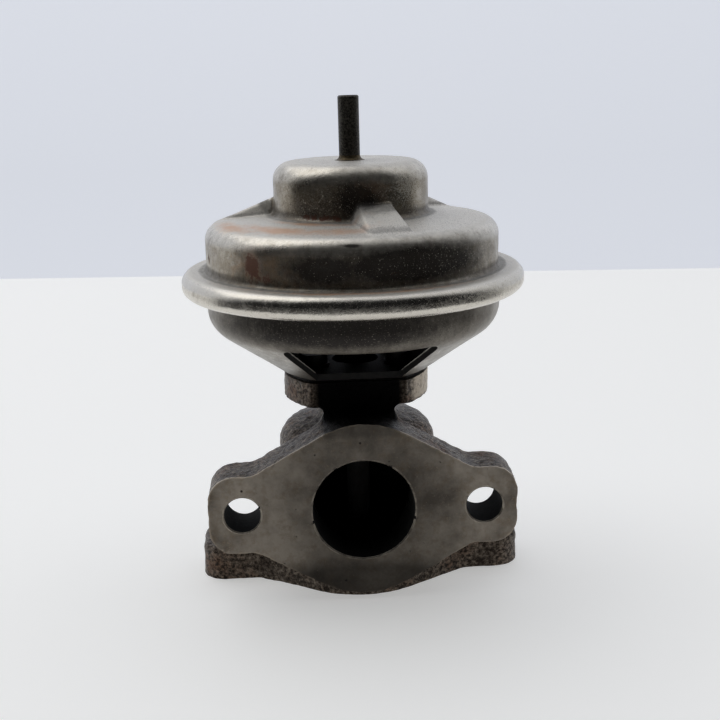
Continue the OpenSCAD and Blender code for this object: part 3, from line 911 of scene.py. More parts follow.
class Finish(Enum):
    """The finishes of the small and hidden pieces, named for the metal and what was done to it, or for the painted
    shade that darkens it.
    """

    GASKET_BOARD = PlainFinish("gasket_graphite_board", "201d1b", "0e0c0b", 0.0, 0.7, 0.9)
    SEAT_STEEL = PlainFinish("seat_stainless_sooted", "4a4038", "15110f", 0.8, 0.4, 0.65)
    HOT_STEEL = PlainFinish("heat_darkened_steel_soot", "2a231e", "0a0807", 0.5, 0.5, 0.8)
    STEM_STEEL = PlainFinish("stem_ground_steel", "8d8a86", "55504a", 1.0, 0.25, 0.4, soot_top_mm=62.0)
    BUSH_BRONZE = PlainFinish("bush_sintered_bronze", "6a5230", "33261a", 0.9, 0.4, 0.6, soot_top_mm=36.0)
    SEAL_GRAPHITE = PlainFinish("seal_graphite", "232325", "0d0d0e", 0.1, 0.55, 0.75)
    OILY_STEEL = PlainFinish("plate_steel_oily_soot", "2b2823", "0d0b0a", 0.7, 0.45, 0.7)
    # Painted shade: the inside of the lower case, kept near black
    SHADE_DARKENED_STEEL = PlainFinish("case_steel_shade_darkened_inside", "100e0c", "060505", 0.3, 0.6, 0.85)
    PLATED_STEEL = PlainFinish("plate_zinc_plated_steel", "a39c88", "6f6656", 1.0, 0.3, 0.5)
    DARK_FASTENER = PlainFinish("fastener_blackened_steel", "25221f", "0d0b0a", 0.7, 0.4, 0.65)
    FASTENER_STEEL = PlainFinish("fastener_bright_zinc", "8e8a82", "5a564f", 1.0, 0.3, 0.5)
    DIAPHRAGM_RUBBER = PlainFinish("diaphragm_silicone_rubber", "1c1c1f", "0f0f11", 0.0, 0.5, 0.7)
    SPRING_STEEL = PlainFinish("spring_drawn_wire", "8b8a88", "5b5a57", 1.0, 0.25, 0.4)
    NIPPLE_STEEL = PlainFinish(
        "nipple_oxidised_steel", "5b5750", "171512", 0.8, 0.34, 0.6, patch_mm=0.45, grain_mm=0.3, bump=0.5
    )
    BRAZE = PlainFinish("braze_dulled_brass", "6e6048", "38301f", 0.8, 0.4, 0.6, patch_mm=0.7)
    # Soot in the port and the chamber, and painted shade in the bolt holes, in one near-black finish
    SOOTED_AND_SHADE_DARKENED_IRON = PlainFinish(
        "grey_iron_sooted_and_shade_darkened_bore", "070605", "020202", 0.0, 0.92, 1.0, patch_mm=4.0, grain_mm=0.8, bump=0.6
    )


# ---- The casting ----

# How far the skin runs past a face before it is milled off, and a drill past the flange that it goes through
SPARE = 4.0


class BodySlot(IntEnum):
    """The casting's finishes, in the order of its slots."""

    CAST = 0
    MILLED = 1
    SOOTY_AND_SHADED = 2


class ShellSlot(IntEnum):
    """The lower shell's finishes, in the order of its slots."""

    OUTSIDE = 0
    INSIDE = 1
    EDGE = 2


@dataclass
class CastBody:
    """The grey iron gas body: a chamber, a waist, a collar and two flanges, cast in one."""

    chamber_r: float = 20.4
    wall_top: float = 39.9
    dome_top: float = 41.8
    dome_round: float = 6.5
    neck_r: float = 9.8
    collar_r: float = 18.7
    collar_foot: float = 47.5
    collar_flat: float = 14.4
    web_half: float = 8.9
    web_foot: float = 43.0
    base_hub_r: float = 22.4
    base_lug_half: float = 9.6
    base_flank: float = 31.5
    base_thick: float = 8.5
    front_hub_r: float = 22.1
    front_lug_half: float = 9.9
    front_flank: float = 30.0
    front_thick: float = 12.4
    knee_round: float = 5.0
    lug_round: float = 6.2
    neck_fillet: float = 2.6
    web_fillet: float = 1.6
    base_fillet: float = 3.0
    front_fillet: float = 2.4
    collar_edge: float = 0.9
    web_edge: float = 0.3
    base_edge: float = 1.5
    front_edge: float = 1.6
    lump_height: float = 0.05
    sway_height: float = 0.09
    cavity_r: float = 15.5
    cavity_floor: float = 8.5
    cavity_top: float = 37.4
    cavity_slope: float = 0.6
    cavity_round: float = 5.0
    seat_r: float = 14.0
    seat_flange_r: float = 15.2
    seat_flange_top: float = 2.4
    bush_r: float = 5.0
    recess_r: float = 8.0
    recess_foot: float = 51.2
    screw_r: float = 2.0
    screw_x: float = 12.5 * math.sin(math.radians(60))
    screw_y: float = 12.5 * math.cos(math.radians(60))
    chamfer: float = 0.32
    cell: float = 0.64
    fine_cell: float = 0.24
    mounts: dict[str, dict] = field(default_factory=dict)

    def __post_init__(self) -> None:
        """Reads the joining sizes from the record and the reach from the solid, and draws the outlines."""
        low, high = node_box("valve_body")
        self.face_y, self.top, self.base_half = low[1], high[2], high[0]
        port = self.mounts["front_port"]
        self.port_z, self.port_r = port["pos_m"][2] / MM, port["dims"]["r_mm"]
        bolts = self.mounts["front_bolts"]["dims"]
        self.front_bolt = bolts["spacing_x_mm"] / 2
        self.bolt_r = bolts["hole_r_mm"]
        self.base_bolt = self.mounts["base_bolts"]["dims"]["spacing_x_mm"] / 2
        self.front_half = self.front_bolt + (self.base_half - self.base_bolt) - 0.3
        self.lumps = Grain(11, 1.7, 6.0, 64)
        self.sway = Grain(12, 12.0, 30.0, 24)
        self.front_outline = FlatField(
            self.flange(self.front_hub_r, self.front_half, self.front_lug_half, self.front_flank)
        )
        self.base_outline = FlatField(
            self.flange(self.base_hub_r, self.base_half, self.base_lug_half, self.base_flank)
        )
        neck_end = self.collar_foot + 3
        self.chamber = self.turned(
            [[0, -SPARE], [self.chamber_r, -SPARE], [self.chamber_r, self.wall_top], [self.neck_r, self.dome_top],
             [self.neck_r, neck_end], [0, neck_end]],
            [0, 0, self.dome_round, self.neck_fillet, 0, 0],
        )
        self.cavity = self.turned(
            [[0, self.cavity_floor], [self.cavity_r, self.cavity_floor],
             [self.cavity_r, self.cavity_top - self.cavity_slope], [0, self.cavity_top]],
            [0, 0, self.cavity_round, 0],
        )

    def turned(self, corners: list[list[float]], radii: list[float]) -> FlatField:
        """The distance to a turned shape, over (r, z), from its profile with round corners."""
        path, _ = bent_sheet(corners, radii, 0.01, 2.0, 12)
        return FlatField(np.concatenate([path, path[::-1] * [-1, 1]]))

    def flange(self, hub: float, half: float, lug: float, flank: float) -> Array:
        """A flange's outline: a round middle, straight flanks that touch it, and two rounded lugs.

        Args:
            hub: the middle's radius.
            half: half of the length.
            lug: half of a lug's width.
            flank: the flanks' slope in degrees.

        Returns:
            The closed outline, shape (n, 2).
        """
        a = math.radians(flank)
        touch = hub * np.array([math.sin(a), math.cos(a)])
        knee = np.array([touch[0] + (touch[1] - lug) / math.tan(a), lug])
        hub_arc = np.radians(np.arange(0, flank - 1, 3.0))
        quarter = np.concatenate([
            hub * np.stack([np.sin(hub_arc), np.cos(hub_arc)], -1),
            touch[None],
            corner_arc(touch, knee, np.array([half, lug]), self.knee_round, 8),
            corner_arc(knee, np.array([half, lug]), np.array([half, 0.0]), self.lug_round, 12),
            [[half, 0.0]],
        ])
        right = np.concatenate([quarter, (quarter * [1, -1])[::-1][1:]])
        return np.concatenate([right, (right * [-1, 1])[::-1][1:-1]])

    def cast(self, p: Array) -> Array:
        """The cast skin's distance: chamber, collar, web and flanges joined by fillets, plus the sand's lumps.

        Above the web's foot the skin ends at the collar's flats, so that web and collar share one plane.

        Args:
            p: the points, shape (n, 3).

        Returns:
            The distance at each point, below zero inside.
        """
        x, y, z = p.T
        r = np.hypot(x, y)
        body = self.chamber(r, z)
        side = np.maximum(r - self.collar_r, np.abs(y) - self.collar_flat)
        middle = (self.collar_foot + self.top + 2) / 2
        collar = rounded_slab(side, np.abs(z - middle) - (middle - self.collar_foot), self.collar_edge)
        body = fillet_union(body, collar, self.neck_fillet)
        web = rounded_slab(np.abs(x) - self.web_half, np.maximum(y, -y - self.collar_flat), self.web_edge)
        web = np.maximum(web, np.abs(z - self.web_foot) - (self.collar_foot + 1 - self.web_foot))
        body = fillet_union(body, web, self.web_fillet)
        body = np.where(z > self.web_foot, np.maximum(body, -y - self.collar_flat), body)
        half, buried = self.base_thick / 2, 3
        across = np.abs(z - half + buried) - half - buried
        body = fillet_union(body, rounded_slab(self.base_outline(x, y), across, self.base_edge), self.base_fillet)
        back = self.face_y + self.front_thick
        centre = (back + self.face_y - SPARE) / 2
        across = np.abs(y - centre) - (back - centre)
        plate = rounded_slab(self.front_outline(x, z - self.port_z), across, self.front_edge)
        body = fillet_union(body, plate, self.front_fillet)
        return body + self.lump_height * self.lumps(p) + self.sway_height * self.sway(p)

    def bores(self, p: Array) -> tuple[Array, Array, Array]:
        """How far points lie outside the drilled holes, square to their axes.

        Args:
            p: the points, shape (n, 3).

        Returns:
            The distance to the port, to the nearer front bolt's hole and to the nearer base bolt's hole.
        """
        x, y, z = p.T
        up = z - self.port_z
        port = np.hypot(x, up) - self.port_r
        bolt = np.hypot(np.abs(x) - self.front_bolt, up) - self.bolt_r
        return port, bolt, np.hypot(np.abs(x) - self.base_bolt, y) - self.bolt_r

    def cuts(self, p: Array) -> Array:
        """The distance to everything that is milled or drilled away.

        Args:
            p: the points, shape (n, 3).

        Returns:
            The distance at each point, below zero where metal is cut away.
        """
        x, y, z = p.T
        r = np.hypot(x, y)
        port, bolt, foot_bolt = self.bores(p)
        screw = np.hypot(np.abs(x) - self.screw_x, np.abs(y) - self.screw_y) - self.screw_r
        return np.minimum.reduce([
            y - self.face_y,
            z,
            self.top - z,
            np.maximum(port, y),
            np.maximum(bolt, y - self.face_y - self.front_thick - SPARE),
            np.maximum(foot_bolt, z - self.base_thick - SPARE),
            np.maximum(r - self.seat_r, z - self.cavity_floor - 1),
            np.maximum(r - self.seat_flange_r, z - self.seat_flange_top),
            np.maximum(r - self.bush_r, self.cavity_top - 3 - z),
            np.maximum(r - self.recess_r, self.recess_foot - z),
            np.maximum(screw, self.collar_foot - 2 - z),
        ])

    def distance(self, p: Array) -> Array:
        """The casting's distance: the cast skin less its cavity and less all that is cut away.

        Args:
            p: the points, shape (n, 3).

        Returns:
            The distance at each point, below zero inside the metal.
        """
        x, y, z = p.T
        hollow = self.cavity(np.hypot(x, y), z) + self.lump_height * self.lumps(p * [1, -1, 1])
        solid = np.maximum(self.cast(p), -hollow)
        return np.maximum(solid, -self.cuts(p))

    def slots(self, centres: Array) -> Array:
        """Which finish each quad has: milled faces and chamfers first, then the near-black finish for what the gas
        has sooted and for the bolt holes, where it is painted shade.

        Args:
            centres: the quads' middles.

        Returns:
            A BodySlot for each.
        """
        x, y, z = centres.T
        depth = y - self.face_y
        port, bolt, foot_bolt = self.bores(centres)
        front = np.minimum(bolt, port)
        milled = (depth < 0.05) | (z < 0.05) | (z > self.top - 0.05)
        milled |= (depth < self.chamfer + 0.01) & (front < self.chamfer)
        sooty_and_shaded = (np.hypot(x, y) < self.cavity_r + 0.5) & (z > 0.1) & (z < self.cavity_top + 0.5)
        # The port's soot, and painted shade in the front and foot bolt holes
        sooty_and_shaded |= (front < 0.1) & (depth < self.front_thick + 1)
        sooty_and_shaded |= (foot_bolt < 0.1) & (z < self.base_thick + 0.5)
        return np.where(milled, BodySlot.MILLED, np.where(sooty_and_shaded, BodySlot.SOOTY_AND_SHADED, BodySlot.CAST))

    def masks(self, points: Array) -> dict[str, Array]:
        """Where edges are worn bare or painted bright, where the holes' chamfers shine, and where the outside is
        darkened.

        Painted shade covers the web and the collar's front flat and fades over the flange below them, and the
        milled face is darker round the port and, as painted shade, at its foot. The rims are the front flange's
        edge, a painted glint along the seams of the web, and painted light on the collar's right side.

        Args:
            points: the mesh's points.

        Returns:
            The masks by the name that the finishes read.
        """
        x, y, z = points.T
        port, bolt, _ = self.bores(points)
        on_face = np.hypot(x, z - self.port_z + 4)
        half = self.chamfer / 2
        mouth = np.minimum(np.abs(bolt - half), np.abs(port - half)) + np.maximum(y - self.face_y - self.chamfer, 0)
        flat = self.collar_flat
        # Painted shade on the web and the collar's front flat
        web = smooth_step(-y, flat - 1.2, flat - 0.3) * smooth_step(z, 40.5, 44)
        web = web * (1 - 0.35 * smooth_step(-y, flat + 1, flat + 4))
        web = web * (1 - smooth_step(np.abs(x), 8.6, 10.4 + 2 * smooth_step(z, 46.5, 48.5)))
        # Darker at the face's foot, as painted shade, and round the port
        face = np.clip(smooth_step(-z, -13, -3) + 0.62 * bell(on_face, 25, 4), 0, 1) * (y < self.face_y + 0.3)
        edge = self.front_outline(x, z - self.port_z) + np.abs(y - self.face_y) * 0.6
        edge = bell(edge, 0.5) * (y < self.face_y + 2.5)
        # Painted glint along the web's edges
        seam_glint = bell(np.hypot(np.abs(x) - self.web_half - 0.5, y + flat - 0.2), 0.5) * (z < self.collar_foot)
        # Painted light on the collar's right side
        lit_right_side = smooth_step(np.degrees(np.arctan2(x, -y)), 38, 52) * smooth_step(np.hypot(x, y), 17.4, 18.2)
        lit_right_side = lit_right_side * smooth_step(z, self.collar_foot, self.collar_foot + 1)
        return {
            "rim": np.maximum.reduce([edge, 0.9 * seam_glint * (z > 42.5), lit_right_side]),
            "bright": smooth_step(-mouth, -0.4, -0.17),
            "soot_and_shade": np.maximum(web, face),
        }

    def build(self, materials: list[bpy.types.Material]) -> bpy.types.Object:
        """Meshes the casting, with closer rows at the front face for the chamfers there.

        Args:
            materials: the finishes in the order of BodySlot.

        Returns:
            The piece.
        """
        h, past = self.cell, 0.6
        fine = np.arange(self.face_y - past * self.fine_cell, self.face_y + 0.9, self.fine_cell)
        fine = np.concatenate([[self.face_y - past], fine])
        ys = np.concatenate([fine, np.arange(fine[-1] + h, self.base_hub_r + 1.4, h)])
        half = self.base_half + 1.2
        xs = np.linspace(-half, half, 2 * math.ceil(half / h))
        zs = np.arange(-0.37, self.top + 1.0, h)
        points, quads = dual_contour(self.distance, xs, ys, zs)
        points = np.maximum(points, [-np.inf, self.face_y, 0.0])
        for x, radius in ((0.0, self.port_r), (self.front_bolt, self.bolt_r), (-self.front_bolt, self.bolt_r)):
            points, quads = Chamfer(x, self.port_z, radius, self.face_y, self.chamfer).cut(points, quads)
        slots, masks = self.slots(points[quads].mean(1)), self.masks(points)
        piece = make_piece("cast_body", points, quads, materials, slots=slots, masks=masks, sharp_degrees=32)
        return settle(piece, "housing", "cast_body", "valve_body")


# ---- The diaphragm case ----


class Mark(Enum):
    """What a mark on the case is made of, painted shade and sheen among them: the mask that carries it to the finish.
    """

    FILM = "stain"
    CRUST = "rust"
    DUST = "dust"
    GRIME = "grime"


@dataclass(frozen=True)
class Patch:
    """A round patch on a revolved shell: its middle's place and its reach both ways, in mm and degrees."""

    mark: Mark
    azimuth: float
    radius: float
    height: float
    around: float
    along: float
    strength: float


@dataclass
class UpperShell:
    """The upper half of the case: two steps, three pressed gussets and the crimped rim, in one sheet."""

    sheet: float = 1.6
    tier1_r: float = 37.0
    tier1_top: float = 92.6
    tier2_r: float = 19.4
    tier2_foot: float = 94.5
    lip_r: float = 41.0
    ledge_z: float = 81.2
    hole_r: float = 2.3
    gusset_turn: float = 13.5
    gusset_reach: float = 35.2
    gusset_slope: float = 0.405
    gusset_rise: float = 3.9
    gusset_half: tuple[float, float] = (4.2, 5.3)
    gusset_root: float = 20.0
    gusset_taper: float = 13.2
    gusset_lean: float = 50.0
    side_fall: float = 2.4
    toe_fall: float = 1.5
    deepest_push: float = 9.0
    patches: tuple[Patch, ...] = (
        Patch(Mark.FILM, -66, 32.5, 93.2, 13, 2.6, 0.75),
        Patch(Mark.FILM, -38, 29.5, 93.4, 14, 3.0, 0.8),
        Patch(Mark.FILM, -13, 28.5, 93.6, 9, 3.0, 0.7),
        Patch(Mark.FILM, -28, 22.0, 94.2, 12, 1.6, 0.7),
        Patch(Mark.FILM, 0, 39.0, 81.2, 26, 1.5, 0.7),
        Patch(Mark.FILM, -35, 37.0, 86.0, 16, 6.0, 0.3),
        Patch(Mark.FILM, 8, 19.4, 101.5, 7, 3.0, 0.45),
        Patch(Mark.FILM, 170, 30.0, 93.3, 18, 5.0, 0.5),
        Patch(Mark.CRUST, -41, 37.0, 86.0, 3.4, 4.8, 0.66),
        Patch(Mark.CRUST, -35, 37.0, 83.6, 2.8, 2.8, 0.5),
        Patch(Mark.CRUST, -24, 19.4, 95.4, 9, 1.3, 0.5),
        Patch(Mark.CRUST, -74, 37.0, 85.4, 1.5, 2.4, 0.5),
        Patch(Mark.CRUST, 12, 37.0, 84.6, 3.0, 1.0, 0.34),
        Patch(Mark.CRUST, 10, 38.0, 81.2, 22, 0.6, 0.3),
        Patch(Mark.CRUST, 150, 37.0, 86.0, 6, 3.5, 0.44),
        # Dust patches; those on the right, at 40 to 48 degrees, stand partly for a painted sheen where the light
        # falls from that side
        Patch(Mark.DUST, 43, 19.4, 101.8, 8, 5.0, 0.9),
        Patch(Mark.DUST, -30, 19.4, 99.0, 12, 5.0, 0.4),
        Patch(Mark.DUST, 40, 37.0, 86.5, 24, 6.0, 0.2),
        Patch(Mark.DUST, 48, 43.4, 78.8, 20, 3.0, 0.8),
        # These patches darken the front of both steps and the narrow step's foot
        Patch(Mark.GRIME, 20, 37.0, 86.5, 24, 5.4, 1.0),
        Patch(Mark.GRIME, -13, 37.0, 86.2, 12, 5.0, 0.9),
        Patch(Mark.GRIME, 2, 19.4, 99.5, 8, 7.0, 0.85),
        Patch(Mark.GRIME, -30, 19.4, 96.5, 8, 3.0, 0.6),
        Patch(Mark.GRIME, 44, 19.4, 95.6, 6, 2.0, 0.5),
        Patch(Mark.GRIME, -3, 36.5, 91.3, 2.6, 0.3, 1.0),
    )

    def __post_init__(self) -> None:
        """Reads the outer sizes from the solid and lays out the profile."""
        low, high = node_box("upper_shell")
        self.rim_r, self.lip_z, self.top = high[0], low[2], high[2]
        self.outer, self.inner = bent_sheet(
            [[self.hole_r, self.top], [self.tier2_r, self.top], [self.tier2_r, self.tier2_foot],
             [self.tier1_r, self.tier1_top], [self.tier1_r, self.ledge_z], [self.rim_r, self.ledge_z],
             [self.rim_r, self.lip_z], [self.lip_r, self.lip_z]],
            [0, 4.5, 1.5, 4.0, 1.2, 2.6, 2.2, 0], -self.sheet, 0.62, 9,
        )
        self.ripple = Grain(21, 9.0, 26.0, 24)
        self.dings = Grain(22, 3.0, 7.0, 48)

    def azimuths(self) -> Array:
        """The columns: close together on each gusset, wider between them.

        Returns:
            The azimuths, in degrees.
        """
        near = np.arange(-18, 18.01, 0.36)
        wide = np.linspace(18, 102, 58)[1:-1]
        one = np.concatenate([near, wide])
        return (np.concatenate([one, one + 120, one + 240]) + self.gusset_turn) % 360

    def raised(self, path: Array, azimuths: Array, skin: float) -> Array:
        """The revolved sheet, pushed out over the gussets.

        A gusset's crest falls in a straight line from the narrow step to its toe, and its sides fall away
        steeply past its half width. Each point below it moves up and out at 50 degrees until it lies on
        it, and a smooth max in place of a sharp one gives the bends their radius.

        Args:
            path: the profile, (r, z).
            azimuths: the columns, in degrees.
            skin: how far inside the gusset's outer face this face lies.

        Returns:
            Points of shape (rows, columns, 3).
        """
        r, z = path[:, 0][:, None], path[:, 1][:, None]
        turn = (azimuths - self.gusset_turn + 60) % 120 - 60
        a = np.radians(turn)[None, :]
        up, out = math.sin(math.radians(self.gusset_lean)), math.cos(math.radians(self.gusset_lean))
        push = np.zeros(np.broadcast_shapes(r.shape, a.shape))
        for _ in range(4):
            rho = (r + push * out) * np.cos(a)
            across = np.abs((r + push * out) * np.sin(a))
            past = rho - self.gusset_root
            share = np.clip(past / self.gusset_taper, 0, 1)
            half = self.gusset_half[0] + (self.gusset_half[1] - self.gusset_half[0]) * share - skin
            crest = self.tier2_foot + self.gusset_rise - self.gusset_slope * past - skin
            crest = crest - self.side_fall * soft_plus(across - half, 0.22)
            crest = crest - self.toe_fall * soft_plus(rho - self.gusset_reach, 0.4)
            short = crest - (z + push * up)
            push = push + short / (up + self.gusset_slope * out)
            push = np.clip(push, -self.deepest_push, self.deepest_push)
        push = np.where(z > self.tier1_top - 1.8, soft_plus(push, 0.16), 0.0)
        push = np.where(push < 0.004, 0.0, push)
        wide = np.radians(azimuths)[None, :]
        radius, height = r + push * out, z + push * up
        return np.stack([radius * np.sin(wide), -radius * np.cos(wide), height], -1)

    def build(self, material: bpy.types.Material) -> bpy.types.Object:
        """Makes the shell's two faces as one closed surface, with masks for wear, grime, painted light and shade, and
        rust.

        Args:
            material: the worn steel finish.

        Returns:
            The piece.
        """
        azimuths = self.azimuths()
        out = self.raised(self.outer, azimuths, 0.0)
        keep = np.unique(np.concatenate([np.arange(0, len(self.inner), 3), [len(self.inner) - 1]]))
        inside = self.raised(self.inner[keep], azimuths, self.sheet * 0.9)
        radial = np.stack([np.sin(np.radians(azimuths)), -np.cos(np.radians(azimuths)), 0 * azimuths], -1)
        sway = 0.05 * self.ripple(out) + 0.02 * self.dings(out)
        edge = smooth_step(np.hypot(out[..., 0], out[..., 1]), 3, 6)
        free = smooth_step(self.rim_r - np.hypot(out[..., 0], out[..., 1]), 0.0, 0.25)
        level = np.abs(np.gradient(self.outer[:, 1])) < 0.05
        shift = np.where(level[:, None, None], np.array([0, 0, 1.0]), radial[None])
        out = out + shift * (np.minimum(sway, 0.02) * edge * free)[..., None]
        masks = self.masks(out, azimuths)
        points = np.concatenate([out, inside[::-1]])
        rows, columns = points.shape[:2]
        quads = grid_quads(rows, columns, True, True).reshape(-1, 4)
        blank = np.zeros(inside.shape[:2])
        masks = {key: np.concatenate([value, blank]) for key, value in masks.items()}
        piece = make_piece("upper_case", points, quads, [material], masks=masks, sharp_degrees=60)
        return settle(piece, "housing", "upper_case", "upper_shell")

    def masks(self, points: Array, azimuths: Array) -> dict[str, Array]:
        """Where the sheet is worn bright, where grime, dust and painted light and shade sit, and where it rusts.

        Wear follows the profile's outward bends and the gussets' crests. Painted shade lies in its inward bends
        and on the gussets' lower flanks, and the level faces and the crests are paled as partly painted top
        light. The patches add the rest, each fading as exp(-d^2) with the distance d from its middle.

        Args:
            points: the outer face.
            azimuths: its columns.

        Returns:
            The masks over the outer face, by the name that the finish reads.
        """
        path = self.outer
        ahead = np.gradient(path, axis=0)
        angle = np.unwrap(np.arctan2(ahead[:, 1], ahead[:, 0]))
        length = path_length(path)
        bend = np.gradient(angle) / np.maximum(np.gradient(length), 0.02)
        spread = bell(length[:, None] - length[None, :], 0.9)
        spread /= spread.sum(1, keepdims=True)
        bend = spread @ bend
        wear_and_glint = np.clip(-bend * 3.0, 0, 1)[:, None] * np.ones(len(azimuths))
        # Painted shade in the inward bends
        grime = np.clip(bend * 1.2, 0, 0.42)[:, None] * np.ones(len(azimuths))
        lift = points[..., 2] - path[:, 1][:, None]
        crest = smooth_step(lift, 0.5, 1.4)
        wear_and_glint = np.maximum(wear_and_glint, crest * 0.6)
        # Painted shade on the gussets' lower flanks
        skirt = smooth_step(lift, 0.05, 0.5) * (1 - crest)
        grime = np.maximum(grime, skirt * 0.35)
        # Level faces and crests, paled as bare metal and partly as painted top light
        level = np.abs(ahead[:, 0]) / np.hypot(ahead[:, 0], ahead[:, 1])
        bare_and_top_light = smooth_step(level, 0.8, 0.98) * (path[:, 1] > self.ledge_z - 0.5)
        bare_and_top_light = np.maximum(bare_and_top_light[:, None] * np.ones(len(azimuths)), crest)
        masks = {"wear_and_glint": wear_and_glint, "grime": grime, "bare_and_top_light": bare_and_top_light}
        for patch in self.patches:
            at = np.argmin(np.hypot(path[:, 0] - patch.radius, path[:, 1] - patch.height))
            gap = (azimuths - patch.azimuth + 180) % 360 - 180
            across = np.radians(gap)[None, :] * path[:, 0][:, None] / patch.around
            along = (length - length[at])[:, None] / patch.along
            value = patch.strength * np.exp(-(across**2 + along**2))
            masks[patch.mark.value] = np.maximum(masks.get(patch.mark.value, 0.0), value)
        return masks


@dataclass
class LowerShell:
    """The lower half of the case: a floor, a cone with two windows, a short wall and a clamped lip."""

    sheet: float = 1.6
    hole_r: float = 6.0
    floor_r: float = 18.9
    slope: float = 35.0
    wall_r: float = 37.3
    lip_top: float = 77.0
    half_angle: float = 33.0
    chord: float = 15.2
    window_top_r: float = 35.0
    top_round: float = 2.5
    foot_round: float = 1.0
    rows_below: int = 18
    rows_across: int = 26
    rows_above: int = 6

    def __post_init__(self) -> None:
        """Reads the outer sizes from the solid and lays out the profile."""
        low, high = node_box("lower_shell")
        self.foot, self.lip_r = low[2], high[0]
        cone_top = self.foot + (self.wall_r - self.floor_r) * math.tan(math.radians(self.slope))
        self.outer, self.inner = bent_sheet(
            [[self.hole_r, self.foot], [self.floor_r, self.foot], [self.wall_r, cone_top],
             [self.wall_r, self.lip_top], [self.lip_r, self.lip_top]],
            [0, 2.8, 7.5, 1, 0], self.sheet, 0.7, 12,
        )
        self.ripple = Grain(31, 8.0, 24.0, 24)

    def columns(self) -> tuple[Array, Array]:
        """The columns: close together at the windows' corners, wider between them.

        Returns:
            The azimuths, and each one's turn from the middle of the nearer window, in degrees.
        """
        corner = np.array([0, 0.12, 0.45, 1.0, 1.7, 2.5, 3.3, 4.1])
        inside = np.concatenate([-self.half_angle + corner, np.linspace(-28, 28, 47), self.half_angle - corner[::-1]])
        between = np.linspace(self.half_angle, 180 - self.half_angle, 84)[1:-1]
        one = np.concatenate([inside, between])
        turns = np.concatenate([one, one + 180]) % 360
        return turns, (turns + 90) % 180 - 90

    def window_edges(self, size: Array) -> tuple[Array, Array]:
        """How far from the axis a window begins and ends, by how far each column is from its middle.

        The foot is the chord r = c / cos t and the top the circle r = R, and near the sides both bend into
        quarter circles of radius q: a column at the distance g < q from the side is cut shorter by
        q - sqrt(q^2 - (q - g)^2).

        Args:
            size: each column's turn from the middle of its window, t, in degrees.

        Returns:
            The foot's and the top's distance from the axis, for each column.
        """
        clamped = np.minimum(size, self.half_angle)
        foot = self.chord / np.cos(np.radians(clamped))
        top = np.full(len(size), self.window_top_r)
        for line, q, sign in ((foot, self.foot_round, 1), (top, self.top_round, -1)):
            gap = np.clip(np.radians(self.half_angle - clamped) * line, 0, q)
            line += sign * (q - np.sqrt(q**2 - (q - gap) ** 2))
        return foot, top

    def faces(self, azimuths: Array, size: Array) -> list[Array]:
        """The outer and the inner face, with the same rows at the same distance from the axis.

        The rows run from the hole to the windows' feet, across them, from their tops to the wall, and on to
        the lip. The windows are pierced along the axis, so both faces have them at one distance from it.

        Args:
            azimuths: the columns, in degrees.
            size: each column's turn from the middle of its window.

        Returns:
            Both faces, each of shape (rows, columns, 3).
        """
        foot, top = self.window_edges(size)
        past = self.window_top_r + 0.5
        radii = []
        for low, high, rows in (
            (self.hole_r, foot, self.rows_below), (foot, top, self.rows_across), (top, past, self.rows_above)
        ):
            radii += [low + (high - low) * k / rows for k in range(rows)]
        radii.append(top + (past - top))
        length = path_length(self.outer)
        climb = self.outer[:, 0] < self.wall_r - 0.2
        tail = np.flatnonzero(length > np.interp(past, self.outer[climb, 0], length[climb]) + 0.3)
        turn = np.radians(azimuths)[None, :]
        faces = []
        for path in (self.outer, self.inner):
            length = path_length(path)
            rising = np.maximum.accumulate(path[:, 0]) <= path[:, 0] + 1e-9
            rising &= length <= length[tail[0]]
            s = np.interp(np.array(radii), path[rising, 0], length[rising])
            s = np.concatenate([s, np.repeat(length[tail][:, None], len(azimuths), 1)])
            r, z = np.interp(s, length, path[:, 0]), np.interp(s, length, path[:, 1])
            faces.append(np.stack([r * np.sin(turn), -r * np.cos(turn), z], -1))
        height = faces[0][..., 2]
        sway = np.minimum(0.04 * self.ripple(faces[0]), 0.02)
        sway *= smooth_step(self.lip_top - 0.6 - height, 0, 2) * smooth_step(height, self.foot, self.foot + 2)
        radial = np.concatenate([np.sin(turn), -np.cos(turn), 0 * turn]).T[None]
        return [face + radial * sway[..., None] for face in faces]

    def masks(self, face: Array, azimuths: Array, size: Array) -> dict[str, Array]:
        """Where the outside is darkened by dirt mixed with painted shade, where it has rusted, and where the windows'
        burr shines inside, partly as a painted highlight.

        Args:
            face: the outer face.
            azimuths, size: its columns, and each one's turn from the middle of its window.

        Returns:
            The masks over the outer face and then the inner one, by the name that the finish reads.
        """
        height = face[..., 2]
        rows = np.arange(len(face))[:, None]
        below = np.maximum(self.rows_below - rows, 0)
        above = np.maximum(rows - self.rows_below - self.rows_across, 0)
        across = np.radians(np.maximum(size - self.half_angle, 0))[None, :] * np.hypot(face[..., 0], face[..., 1])
        # The burr's bright line, partly a painted highlight
        burr_glint = bell(across + np.maximum(below, above) * 0.7, 0.35) * np.where(rows <= self.rows_below, 0.6, 1.0)
        front = bell((azimuths + 190) % 360 - 180, 58)[None, :]
        # Darker under the rim, near the floor, towards the front and round the windows' feet: dirt mixed with painted
        # shade
        dirt_and_shade = np.maximum.reduce([
            0.55 * smooth_step(height, 75, 76.5) + 0.3 * smooth_step(height, 60, 57),
            0.8 * front * smooth_step(height, 65, 70),
            bell(across + 0.7 * below, 0.9) * (rows <= self.rows_below),
        ])
        rust = 0.12 * smooth_step(height, 72, 76) * (0.6 + 0.4 * np.sin(np.radians(azimuths)[None, :] * 3 + 1))
        return {
            "wear_and_glint": np.concatenate([0 * burr_glint, burr_glint]),
            "grime": np.concatenate([dirt_and_shade, 0 * dirt_and_shade]),
            "stain": np.concatenate([rust, 0 * rust]),
        }

